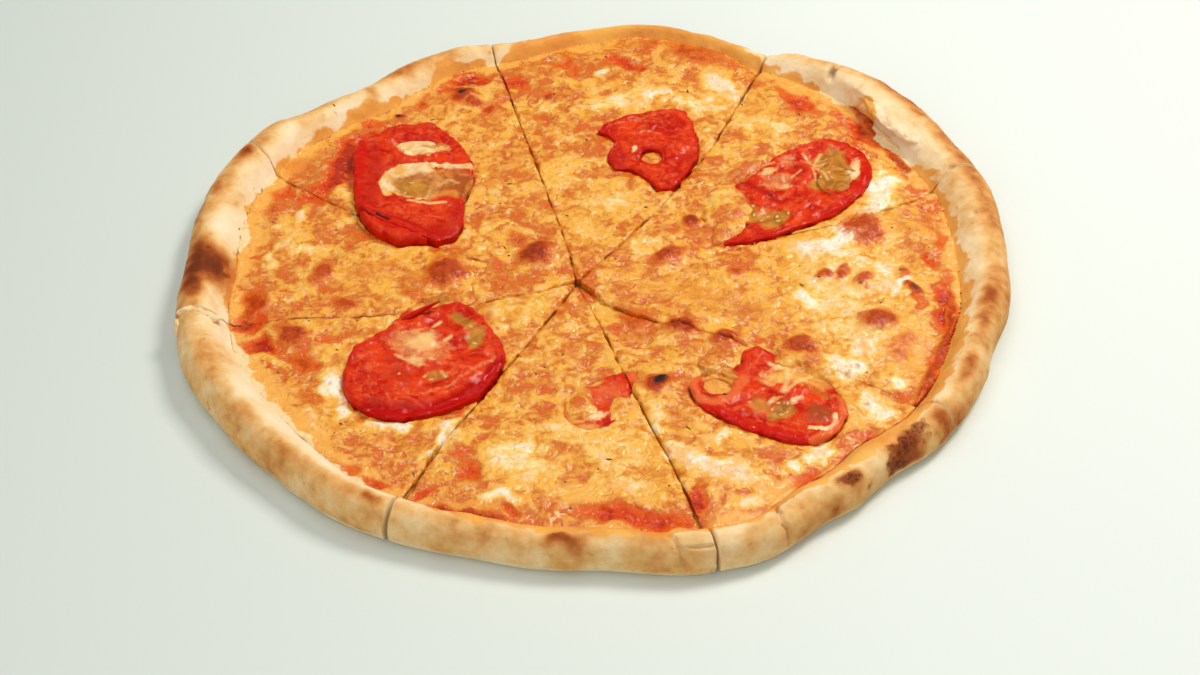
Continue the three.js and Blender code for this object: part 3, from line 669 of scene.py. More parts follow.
def crust_reach():
    """Outer reach of the crusts' solids by angle: two arrays for np.interp."""
    cloud = np.concatenate([points_of(frame["nodes"][f"crust_{n}"]) for n in SLICES])
    reach = np.hypot(cloud[:, 0], cloud[:, 1])
    sector = (angle_of(cloud) // SECTOR).astype(int)
    sectors = np.arange(360 // SECTOR)
    return sectors * SECTOR + SECTOR / 2, np.array([reach[sector == s].max() for s in sectors])


CRUST_REACH = crust_reach()


def inset_of(points):
    """How far each point lies inside the crusts' outer reach, in plan."""
    return np.interp(angle_of(points), *CRUST_REACH, period=360) - np.hypot(points[:, 0], points[:, 1])


def inside_border(points):
    """How far each point lies inside the border of the oil, up to 30 mm."""
    border = np.interp(angle_of(points), *zip(*OIL_BORDER), period=360)
    return np.clip(border - np.hypot(points[:, 0], points[:, 1]), -30, 30)


def height_at(pieces, x, y):
    """Level of the highest surface of the pieces at a place, looked for from above, in millimetres."""
    start, down = Vector((x * MM, y * MM, 50 * MM)), Vector((0, 0, -1))
    hits = [piece.ray_cast(start, down) for piece in pieces]
    return max((place.z / MM for hit, place, _, _ in hits if hit), default=0)


def pieces_named(*starts):
    """The new pieces whose names start with any of the given words."""
    return [piece for piece in bpy.data.objects if piece.name.startswith(starts)]


class PizzaSizes(bpy.types.PropertyGroup):
    """Sizes that shape the surface."""

    cheese_mesh: bpy.props.FloatProperty(
        name="Cheese mesh", description="Distance between its points", default=0.00055, unit="LENGTH"
    )
    crust_levels: bpy.props.IntProperty(
        name="Crust levels", description="Times that the crust's faces are divided", default=3, min=1, max=3
    )
    cheese_lumps: bpy.props.FloatProperty(
        name="Cheese lumps", description="Height of the cheese's lumps", default=0.0013, unit="LENGTH"
    )
    crust_dimples: bpy.props.FloatProperty(
        name="Crust dimples", description="Depth of the dimples in the rim", default=0.0011, unit="LENGTH"
    )
    herb_flecks: bpy.props.IntProperty(
        name="Herb flecks", description="Number of dried herb flecks on the topping", default=70, min=0
    )


class PizzaColours(bpy.types.PropertyGroup):
    """Colours that a user would change."""

    tomato: bpy.props.FloatVectorProperty(
        name="Tomato", description="Flesh of the slices", subtype="COLOR", size=4, default=linear("#bd1000")
    )
    oil: bpy.props.FloatVectorProperty(
        name="Oil", description="Orange oil", subtype="COLOR", size=4, default=linear("#f4b04c")
    )
    floor: bpy.props.FloatVectorProperty(
        name="Floor", description="Pale floor", subtype="COLOR", size=4, default=linear("#e6ebe5")
    )


def new_material(name):
    """An empty node material, the function that adds its nodes, and the place that its patterns read."""
    material = bpy.data.materials.new(name)
    material.use_nodes = True
    material.node_tree.nodes.clear()
    add = functools.partial(add_node, material.node_tree)
    return material, add, add("TexCoord", out="Object")


def oil_edge(add, place):
    """How far a place lies inside the ragged border of the oil, in millimetres."""
    ragged = add("TexNoise", {"Vector": place, "Scale": METRE / 6.5, "Detail": 2.5, "Roughness": 0.5})
    ragged = add("MapRange", [ragged, 0.3, 0.7, -1.9, 1.9])
    edge = add("Attribute", out="Fac", attribute_name="edge")
    return add("Math", [ragged, edge], operation="ADD")


def baked_bread():
    """Baked wheat bread: matt, pale and floury, toasted golden to black, with oil soaked into its slope."""
    material, add, place = new_material("baked_bread")
    # Noises by feature size in millimetres
    broad, middle, fine = [
        add("TexNoise", {"Vector": place, "Scale": METRE / size, "Detail": 4, "Roughness": 0.58})
        for size in (21, 4.2, 0.9)
    ]
    crest, toast, char, foot, crack, crumb = [
        add("Attribute", out="Fac", attribute_name=name)
        for name in ("crest", "toast", "char", "foot", "crack", "crumb")
    ]
    # Toasting adds up from the crest, the toasted places and the bread's own unevenness
    tone = add("Math", [crest, 0.3, toast], operation="MULTIPLY_ADD")
    for levels in ((broad, 0.36, 0.64, -0.11, 0.13), (middle, 0.3, 0.7, -0.06, 0.07)):
        uneven = add("MapRange", levels)
        tone = add("Math", [tone, uneven], operation="ADD")
    bread = add("ValToRGB", [tone], stops=[
        (0, "#fae3bc"), (0.2, "#f3d19a"), (0.36, "#e6b06a"), (0.5, "#d08a46"), (0.64, "#af5a22"),
        (0.8, "#7f3610"), (1, "#4c1b08"),
    ])
    # Charred black, broken by cracks that show brown
    ragged = add("Math", [middle, 2.2, char], operation="MULTIPLY_ADD")
    charred = add("MapRange", [ragged, 1.4, 1.95, 0, 0.94])
    bent = add("TexNoise", {"Vector": place, "Scale": METRE / 3}, out="Color")
    bent = add("MixRGB", [0.004, place, bent])
    cells = {"Vector": bent, "Scale": METRE / 2.4, "Detail": 2}
    seams = add("TexVoronoi", cells, feature="DISTANCE_TO_EDGE")
    black = add("ValToRGB", [seams], stops=[(0, "#9c481a"), (0.12, "#673012"), (0.3, "#3a190c")])
    # Burnt flour specks low on the outer face
    speck = add("TexNoise", {"Vector": place, "Scale": METRE / 1.5, "Detail": 3, "Roughness": 0.75})
    speck = add("MapRange", [speck, 0.6, 0.72, 0, 0.5])
    speck = add("Math", [speck, foot], operation="MULTIPLY")
    # Oil, whose edge wanders by a few millimetres, is deeper in patches and on toasted bread
    oily = add("MapRange", [oil_edge(add, place), -0.4, 0.4, 0, 0.95])
    deeper = add("MapRange", [broad, 0.46, 0.68])
    baked = add("MapRange", [toast, 0.1, 0.5])
    soaked = list(bpy.context.scene.pizza_colours.oil)
    for share, colour in ((deeper, "#e4903a"), (baked, "#cf7430")):
        soaked = add("Mix", {SHARE: share, LOWER: soaked, UPPER: colour}, out=MIXED, data_type="RGBA")
    # Over the toasting come cracks darkened brown as painted shade, char, specks, the paler crumb of cut
    # and torn bread, and the oil
    for share, colour in (
        (crack, "#7c4a22"), (charred, black), (speck, "#866642"), (crumb, "#efd3a0"), (oily, soaked),
    ):
        bread = add("Mix", {SHARE: share, LOWER: bread, UPPER: colour}, out=MIXED, data_type="RGBA")
    gloss = add("MapRange", [oily, 0, 1, 0.7, 0.36])
    skin = add("Bump", {"Height": fine, "Strength": 0.4, "Distance": 0.0003})
    skin = add("Bump", {"Height": middle, "Strength": 0.45, "Distance": 0.0008, "Normal": skin})
    shader = add("BsdfPrincipled", {
        "Base Color": bread, "Roughness": gloss, "IOR": 1.4, "Specular IOR Level": 0.2, "Normal": skin,
        "Subsurface Weight": 0.12, "Subsurface Radius": (1, 0.55, 0.3), "Subsurface Scale": 0.0012,
    })
    add("OutputMaterial", {"Surface": shader})
    return material


def melted_cheese():
    """Melted cheese over tomato sauce: oily and golden, cream where it is thick, red where it is thin."""
    material, add, place = new_material("melted_cheese")
    # Noises by feature size in millimetres and twist
    broad, marble, curd, fleck, fine = [
        add("TexNoise", {
            "Vector": place, "Scale": METRE / size, "Detail": 2.5, "Roughness": 0.5, "Distortion": twist,
        })
        for size, twist in ((22, 0.3), (9, 0.8), (3.8, 0.8), (2.6, 1.2), (1, 0))
    ]
    tone, mottle, oil, sauce, brown, char, side = [
        add("Attribute", out="Fac", attribute_name=name)
        for name in ("tone", "mottle", "oil", "sauce", "brown", "char", "side")
    ]
    uneven = 0
    for noise, swing in ((marble, 0.2), (curd, 0.2), (fleck, 0.08)):
        part = add("MapRange", [noise, 0.3, 0.7, -swing, swing])
        uneven = add("Math", [part, uneven], operation="ADD")
    tone = add("Math", [uneven, mottle, tone], operation="MULTIPLY_ADD")
    # Near the rim the cheese is thin, so that the sauce shows in patches
    edge = oil_edge(add, place)
    thin = add("MapRange", [edge, 24, 8, 0, 0.4])
    peek = add("MapRange", [marble, 0.5, 0.64])
    for part in (peek, mottle):
        thin = add("Math", [thin, part], operation="MULTIPLY")
    tone = add("Math", [tone, thin], operation="SUBTRACT")
    cheese = add("ValToRGB", [tone], stops=[
        (0, "#b02400"), (0.1, "#d6440a"), (0.26, "#e06412"), (0.38, "#d06816"), (0.5, "#da8022"),
        (0.62, "#e89b34"), (0.74, "#f4ba4e"), (0.87, "#fbdb98"), (1, "#fdf0da"),
    ])
    # Over the cheese come layers, each with its share and colour
    layers = []
    # Butterfat gives broad yellower patches where there is no sauce
    thick = add("MapRange", [tone, 0.4, 0.6])
    for noise, most in ((broad, 0.4), (marble, 0.8)):
        yellow = add("MapRange", [noise, 0.5, 0.64, 0, most])
        yellow = add("Math", [yellow, thick], operation="MULTIPLY")
        layers.append((yellow, "#f4ae36"))
    # Small cream curds, crowded in some places
    crowd = add("MapRange", [marble, 0.42, 0.62])
    curds = add("MapRange", [fleck, 0.56, 0.66, 0, 0.62])
    for part in (crowd, mottle):
        curds = add("Math", [curds, part], operation="MULTIPLY")
    layers.append((curds, "#fbe0b2"))
    # Oil in pools and in a band inside its ragged border
    pool = add("Math", [marble, 0.9, oil], operation="MULTIPLY_ADD")
    pool = add("MapRange", [pool, 0.75, 1.15, 0, 0.85])
    band = add("Math", [marble, 16, edge], operation="MULTIPLY_ADD")
    band = add("MapRange", [band, 12.5, 15.5, 0.92, 0])
    oily = add("Math", [pool, band], operation="MAXIMUM")
    bared = add("MapRange", [sauce, 0.15, 0.6, 1, 0.1])
    oily = add("Math", [oily, bared], operation="MULTIPLY")
    layers.append((oily, list(bpy.context.scene.pizza_colours.oil)))
    # Browned skin on the blisters, darkest at the top, and painted shadow along the rim's edge in the same
    # browns
    browned = add("Math", [curd, brown], operation="ADD")
    browned = add("Math", [fleck, 0.9, browned], operation="MULTIPLY_ADD")
    for start, end, most, colour in (
        (1.06, 1.4, 0.88, "#da6812"), (1.45, 1.72, 0.9, "#b83c00"), (1.86, 2.15, 0.85, "#8a2602"),
    ):
        layers.append((add("MapRange", [browned, start, end, 0, most]), colour))
    charred = add("Math", [curd, char], operation="ADD")
    layers.append((add("MapRange", [charred, 0.85, 1.25]), "#2b100e"))
    # The cut sides show cheese run down over the sauce, and outside the border of the oil the bread is bare
    bare = add("MapRange", [edge, -0.4, 0.4, 1, 0])
    layers += [(side, "#d9742a"), (bare, "#f5d5a0")]
    for share, colour in layers:
        cheese = add("Mix", {SHARE: share, LOWER: cheese, UPPER: colour}, out=MIXED, data_type="RGBA")
    gloss = add("MapRange", [curd, 0.3, 0.7, 0.24, 0.42])
    # The wet coat is thinner over bare bread, sauce and browned skin
    wet = add("MapRange", [bare, 0, 1, 0.6, 0])
    damp = add("MapRange", [bared, 0, 1, 0.2, 1])
    dry = add("MapRange", [browned, 1.3, 1.7, 1, 0.4])
    for part in (damp, dry):
        wet = add("Math", [wet, part], operation="MULTIPLY")
    wrinkles = add("Bump", {"Height": fine, "Strength": 0.65, "Distance": 0.0005})
    wrinkles = add("Bump", {"Height": curd, "Strength": 0.9, "Distance": 0.0013, "Normal": wrinkles})
    shader = add("BsdfPrincipled", {
        "Base Color": cheese, "Roughness": gloss, "IOR": 1.42, "Specular IOR Level": 0.15,
        "Subsurface Weight": 0.15, "Subsurface Radius": (1, 0.45, 0.15), "Subsurface Scale": 0.0012,
        "Coat Weight": wet, "Coat Roughness": 0.07, "Normal": wrinkles, "Coat Normal": wrinkles,
    })
    add("OutputMaterial", {"Surface": shader})
    return material


def baked_tomato():
    """A baked tomato slice: wet red flesh and skin, a pale core, and jelly that shows amber to olive."""
    material, add, place = new_material("baked_tomato")
    # Noises by feature size in millimetres and twist
    middle, curd, fine = [
        add("TexNoise", {
            "Vector": place, "Scale": METRE / size, "Detail": 4, "Roughness": 0.55, "Distortion": twist,
        })
        for size, twist in ((7.5, 1.2), (2.6, 0.8), (1.1, 0))
    ]
    streaky = add("MapRange", [middle, 0.38, 0.62])
    flesh, amber, olive, melted, cream = [
        add("Mix", {SHARE: streaky, LOWER: low, UPPER: high}, out=MIXED, data_type="RGBA")
        for low, high in (
            (list(bpy.context.scene.pizza_colours.tomato), "#e23e0c"),
            ("#a9541a", "#d98a3a"), ("#a4621a", "#cc8c34"), ("#df8a38", "#f0b356"), ("#e8aa55", "#f6dca8"),
        )
    ]
    layers = [(add("MapRange", [curd, 0.5, 0.7, 0, 0.55]), "#ec7444")]
    uneven = add("MapRange", [curd, 0.3, 0.7, -0.2, 0.2])
    # Each kind of flesh: its attribute, its colour, how much of it shows at most, and from which strength;
    # deep red and black also paint shade
    for kind, colour, most, full in (
        ("skin", "#cc0e00", 0.85, 0.9), ("wall", "#bb0400", 0.95, 0.7), ("deep", "#b40c00", 0.85, 0.8),
        ("melt", melted, 0.95, 0.66), ("curd", cream, 0.97, 0.66), ("pith", "#f3bc72", 0.88, 1.1),
        ("pale", "#e76a34", 0.9, 0.8), ("jelly", amber, 0.9, 0.7), ("gel", olive, 0.92, 0.66),
        ("vein", "#f4cf84", 0.75, 1.3), ("brown", "#a5481a", 0.85, 0.8), ("black", "#2a1410", 0.9, 0.6),
    ):
        amount = add("Attribute", out="Fac", attribute_name=kind)
        amount = add("Math", [uneven, amount], operation="ADD")
        layers.append((add("MapRange", [amount, 0.2, full, 0, most]), colour))
    for share, colour in layers:
        flesh = add("Mix", {SHARE: share, LOWER: flesh, UPPER: colour}, out=MIXED, data_type="RGBA")
    wet = add("Bump", {"Height": fine, "Strength": 0.4, "Distance": 0.0003})
    wet = add("Bump", {"Height": middle, "Strength": 0.5, "Distance": 0.0014, "Normal": wet})
    shader = add("BsdfPrincipled", {
        "Base Color": flesh, "Roughness": 0.3, "IOR": 1.36, "Specular IOR Level": 0.05, "Normal": wet,
        "Subsurface Weight": 0.15, "Subsurface Radius": (1, 0.25, 0.1), "Subsurface Scale": 0.0012,
        "Coat Weight": 0.24, "Coat Roughness": 0.06, "Coat Normal": wet,
    })
    add("OutputMaterial", {"Surface": shader})
    return material


def tomato_seed():
    """Tomato seeds: smooth, pale yellow and wet."""
    material, add, place = new_material("tomato_seed")
    patch = add("TexNoise", {"Vector": place, "Scale": METRE / 1.5, "Detail": 2})
    colour = add("Mix", {SHARE: patch, LOWER: "#c98a34", UPPER: "#e6bb6a"}, out=MIXED, data_type="RGBA")
    shader = add("BsdfPrincipled", {"Base Color": colour, "Roughness": 0.3, "Coat Weight": 0.3})
    add("OutputMaterial", {"Surface": shader})
    return material


def dried_herb():
    """Dried oregano flecks: matt, dark green to black."""
    material, add, place = new_material("dried_herb")
    patch = add("TexNoise", {"Vector": place, "Scale": METRE / 4, "Detail": 2})
    patch = add("MapRange", [patch, 0.4, 0.6])
    colour = add("Mix", {SHARE: patch, LOWER: "#1c150b", UPPER: "#4a3a14"}, out=MIXED, data_type="RGBA")
    shader = add("BsdfPrincipled", {"Base Color": colour, "Roughness": 0.6})
    add("OutputMaterial", {"Surface": shader})
    return material


def pale_floor():
    """Painted table top, pale and matt, a little cloudy, with painted shade that darkens it towards the
    left.
    """
    material, add, place = new_material("pale_floor")
    cloudy = add("TexNoise", {"Vector": place, "Scale": METRE / 500, "Detail": 2})
    # Painted shade: the floor darkens towards the left, standing in for the shadow cast there
    across = add("SeparateXYZ", [place], out="X")
    across = add("MapRange", [across, 0.1, -0.28])
    tone = list(bpy.context.scene.pizza_colours.floor)
    for share, colour in ((cloudy, "#dfe6df"), (across, "#ccd4cc")):
        tone = add("Mix", {SHARE: share, LOWER: tone, UPPER: colour}, out=MIXED, data_type="RGBA")
    shader = add("BsdfPrincipled", {"Base Color": tone, "Roughness": 0.6})
    add("OutputMaterial", {"Surface": shader})
    return material


class PIZZA_OT_stage(bpy.types.Operator):
    """Adds the floor, the soft studio light and the camera"""

    bl_idname = "pizza.stage"
    bl_label = "Set the stage"

    def execute(self, context):
        bpy.ops.object.select_all(action="DESELECT")
        # The floor lies just under the pizza's flat base, so that their faces don't coincide
        bpy.ops.mesh.primitive_plane_add(size=6, location=(0, 0, -0.1 * MM))
        floor = context.active_object
        floor.name = "floor"
        bpy.ops.object.transform_apply(location=True, rotation=False, scale=False)
        floor.data.materials.append(pale_floor())
        # Name, place, width, depth, power and colour of each soft box
        for name, place, width, depth, power, colour in (
            ("key_light", (0.65, 0.5, 1.1), 0.4, 0.4, 12.3, "#fffaf3"),
            ("top_light", (-0.3, 0.1, 1.4), 1.2, 0.9, 6, "#ffffff"),
            ("front_fill", (-0.4, -1.1, 0.8), 1.2, 1, 5, "#fbfbfa"),
        ):
            bpy.ops.object.light_add(type="AREA", location=place)
            lamp = context.active_object
            lamp.name = name
            lamp.rotation_euler = (-Vector(place)).to_track_quat("-Z", "Y").to_euler()
            lamp.data.shape = "RECTANGLE"
            lamp.data.size, lamp.data.size_y = width, depth
            lamp.data.energy = power
            lamp.data.color = linear(colour)[:3]
        world = bpy.data.worlds.new("soft_daylight")
        context.scene.world = world
        world.use_nodes = True
        daylight = world.node_tree.nodes["Background"].inputs
        daylight["Color"].default_value = linear("#f4f7f5")
        daylight["Strength"].default_value = 0.31
        context.scene.view_settings.view_transform = "Standard"
        # The camera looks down at the pizza from the front, 0.85 m from the middle of its view
        aim = Vector((0.00156, -0.03414, 0))
        distance, slope = 0.85212, math.radians(40.815)
        place = aim + distance * Vector((0, -math.cos(slope), math.sin(slope)))
        bpy.ops.object.camera_add(location=place, rotation=(math.pi / 2 - slope, 0, 0))
        camera = context.active_object
        camera.name = "camera"
        camera.data.lens = 72
        camera.data.sensor_width = 36
        camera.data.clip_start = 0.01
        context.scene.camera = camera
        return {"FINISHED"}


class PIZZA_OT_crusts(bpy.types.Operator):
    """Bakes the bread of each slice: rim, dimples, cracks, toasted, charred and oily places"""

    bl_idname = "pizza.crusts"
    bl_label = "Bake the crusts"

    def execute(self, context):
        sizes = context.scene.pizza_sizes
        bread = baked_bread()
        dimples = relief_texture("dimples", 13, 1)
        blebs = relief_texture("blebs", 4.5, 2)
        grain = relief_texture("grain", 1.4, 2)
        for number in SLICES:
            piece = copy_of_node(f"crust_{number}", f"bread_{number}")
            self.divide(piece, sizes.crust_levels)
            points = points_of(piece)
            level, inset = points[:, 2], inset_of(points)
            cut = self.cut_share(points, normals_of(piece), inset)
            # The rim fades out inward, and the underside stays flat
            rim = (1 - smoothstep(20, 30, inset)) * smoothstep(0.2, 2, level)
            rim_group = weigh(piece, "rim", rim * (1 - cut))
            cut_group = weigh(piece, "cut", cut * smoothstep(0.3, 1.5, level))
            for texture, height, group in (
                (dimples, sizes.crust_dimples / MM, rim_group), (blebs, 0.6, rim_group),
                (grain, 0.14, rim_group), (blebs, 0.5, cut_group), (grain, 0.3, cut_group),
            ):
                emboss(piece, texture, height, group)
            shift(piece, 0.25, "swollen", cut * smoothstep(2, 6, level))
            for index, (width, depth, path) in enumerate(CRACKS):
                near = 1 - smoothstep(0.1, 1, near_path(points_of(piece), path) / width)
                shift(piece, -depth, f"crack_{index}", near * rim)
            self.colour(piece, cut)
            finish_piece(piece, bread)
        # Torn lumps and the folded lobe: name, shape, how ragged it is, and how much crumb it shows
        torn_edge = relief_texture("torn_edge", 4, 2)
        lumps = [(f"torn_bread_{index + 1}", shape, 2.6, 0.9) for index, shape in enumerate(TORN_BREAD)]
        for name, (x, y, z, *half_sizes, turn), ragged, crumb in [*lumps, ("rim_lobe", LOBE, 2, 0)]:
            piece = lump(name, (x, y, z), half_sizes, turn, 0.35)
            emboss(piece, torn_edge, ragged, middle=0.6)
            self.colour(piece, crumb)
            finish_piece(piece, bread)
        return {"FINISHED"}

    def divide(self, piece, levels):
        """Divides the faces, with the edges of the cuts and of the underside kept sharp."""
        bpy.ops.object.mode_set(mode="EDIT")
        bpy.ops.mesh.select_all(action="SELECT")
        bpy.ops.mesh.tris_convert_to_quads(face_threshold=0.7, shape_threshold=0.9)
        bpy.ops.mesh.select_all(action="DESELECT")
        bpy.context.tool_settings.mesh_select_mode = (False, True, False)
        bpy.ops.mesh.edges_select_sharp(sharpness=math.radians(50))
        bpy.ops.transform.edge_crease(value=0.92)
        bpy.context.tool_settings.mesh_select_mode = (True, False, False)
        bpy.ops.object.mode_set(mode="OBJECT")
        apply_modifier(piece, "SUBSURF", levels=levels, render_levels=levels)

    def cut_share(self, points, normals, inset):
        """How much each point's face looks along the circle, as a knife cut does."""
        angle = np.radians(angle_of(points - np.append(CROSSING, 0)))
        sideways = np.abs(-np.sin(angle) * normals[:, 0] + np.cos(angle) * normals[:, 1])
        return smoothstep(0.65, 0.92, sideways) * smoothstep(0.5, 2, inset)

    def colour(self, piece, cut):
        """Stores what the bread's material reads."""
        points = points_of(piece)
        level, inset = points[:, 2], inset_of(points)
        above = smoothstep(2, 6, level)
        line = 1 - smoothstep(0.8, 3, near_path(points, SCORCHED_LINE))
        outer = 1 - smoothstep(1.5, 9, inset)
        crest = smoothstep(7, 14, level) * (1 - smoothstep(5, 13, inset))
        cracks = [1 - smoothstep(0.2, 0.9, near_path(points, path) / width) for width, _, path in CRACKS]
        store(
            piece,
            crest=np.maximum(crest, outer * smoothstep(0.5, 4, level)),
            toast=zone(points, TOASTED, 0, 0.7) * above,
            char=np.maximum(zone(points, CHARRED, 0.3, 0.7) * above, line * 0.9),
            foot=(1 - smoothstep(3, 9, level)) * smoothstep(0.5, 0.9, inset + 0.9),
            crumb=cut,
            # Painted shade: the cracks are darkened brown
            crack=np.max(cracks, axis=0) * 0.85,
            edge=inside_border(points),
        )


class PIZZA_OT_cheese(bpy.types.Operator):
    """Melts the cheese and sauce of each slice: lumps, blisters, curds and pools"""

    bl_idname = "pizza.cheese"
    bl_label = "Melt the cheese"

    def execute(self, context):
        sizes = context.scene.pizza_sizes
        spacing = sizes.cheese_mesh * 1
        cheese = melted_cheese()
        swells = relief_texture("swells", 14, 0)
        lumps = relief_texture("lumps", 6, 1)
        curds = relief_texture("curds", 2.4, 1)
        ragged = relief_texture("ragged", 5, 1)
        for number in SLICES:
            piece = copy_of_node(f"cheese_{number}", f"melted_cheese_{number}")
            apply_modifier(piece, "REMESH", mode="VOXEL", voxel_size=spacing)
            points, normals = points_of(piece), normals_of(piece)
            # Its face and its cut sides show from about 5 mm up, and below that it is sunk in the bread
            level, upward = points[:, 2], normals[:, 2]
            top = smoothstep(0.3, 0.8, upward) * smoothstep(5, 6, level)
            side = (1 - smoothstep(0.2, 0.6, np.abs(upward))) * smoothstep(4.8, 5.6, level)
            top_group = weigh(piece, "top", top)
            apply_modifier(piece, "SMOOTH", factor=0.5, iterations=12, vertex_group=top_group)
            sauce, cream, golden, oil, brown = self.masks(points)
            rough = top * np.clip(1 - 0.5 * golden - 0.8 * sauce - 0.75 * oil + 0.3 * cream, 0.1, 1)
            rough_group = weigh(piece, "rough", rough)
            before = points_of(piece)[:, 2]
            emboss(piece, swells, 1.2, top_group, direction="Z")
            emboss(piece, lumps, sizes.cheese_lumps / MM, rough_group, direction="Z")
            emboss(piece, curds, 0.8, rough_group, direction="Z")
            relief = points_of(piece)[:, 2] - before
            # Blisters swell, and so does the painted shadow along the rim's edge, which shares their mask
            shift(piece, 1, "blister", top * np.clip(brown, 0, 1), "Z")
            shift(piece, -0.8, "sunk", top * smoothstep(0.3, 0.9, sauce), "Z")
            shift(piece, 0.5, "thick", top * np.clip(cream, 0, 1), "Z")
            # The sides bulge: they nearly close the knife cuts, and the outer one runs into the bread
            reach = np.hypot(points[:, 0], points[:, 1])
            outward = (points[:, :2] * normals[:, :2]).sum(axis=1) / np.maximum(reach, 1)
            outer = (outward > 0.6) & (reach > 110)
            emboss(piece, ragged, 1.3, weigh(piece, "cut_sides", side * ~outer))
            shift(piece, 1, "bulge", side * np.where(outer, 1, 0.3))
            self.colour(piece, relief)
            finish_piece(piece, cheese)
        # Cheese run over a tomato slice: a flat uneven drop that thins out to its edge
        film_edge = relief_texture("film_edge", 6, 1)
        film_swells = relief_texture("film_swells", 5, 1)
        half_height = 4
        for index, (x, y, half_length, half_width, turn, top) in enumerate(CHEESE_FILMS):
            half_sizes = (half_length, half_width, half_height)
            piece = lump(f"cheese_film_{index + 1}", (x, y, top - half_height), half_sizes, turn, 0.55)
            for texture, height, along in ((film_edge, 6, "X"), (film_edge, 5, "Y"), (film_swells, 1, "Z")):
                emboss(piece, texture, height, direction=along)
            self.colour(piece, 0)
            finish_piece(piece, cheese)
        return {"FINISHED"}

    def colour(self, piece, relief):
        """Stores what the cheese's material reads."""
        points = points_of(piece)
        sauce, cream, golden, oil, brown = self.masks(points)
        calm = np.clip(1 - 0.6 * golden - 0.7 * oil, 0.15, 1)
        store(
            piece,
            tone=0.54 + 0.14 * np.clip(relief, -1.5, 1.5) * calm + 0.52 * cream - 0.46 * sauce,
            mottle=calm * (1 - 0.7 * np.clip(sauce, 0, 1)) * (1 - 0.65 * np.clip(cream, 0, 1)),
            sauce=sauce,
            oil=oil,
            edge=inside_border(points),
            brown=brown,
            char=zone(points, CHARRED, 0.2, 0.6),
            side=(1 - smoothstep(4.6, 5.6, points[:, 2])) * 0.9,
        )

    def masks(self, points):
        """How much sauce, cream, golden skin, oil and browning each point has, with painted shadow in the
        sauce and the browning.
        """
        sauce = zone(points, SAUCE_AND_SHADOW, 0.3, 1.3)
        cream = zone(points, CREAM, 0.2, 1.4) * (1 - sauce)
        brown = zone(points, BROWNED, 0.35, 1.1)
        # Painted shadow along the rim's edge, in the browning's colours
        for path in RIM_EDGE_SHADOWS:
            brown = np.maximum(brown, 0.9 * (1 - smoothstep(0.5, 3.4, near_path(points[:, :2], path))))
        return sauce, cream, zone(points, GOLDEN, 0.3, 1), zone(points, OIL_POOLS, 0.5, 1), brown


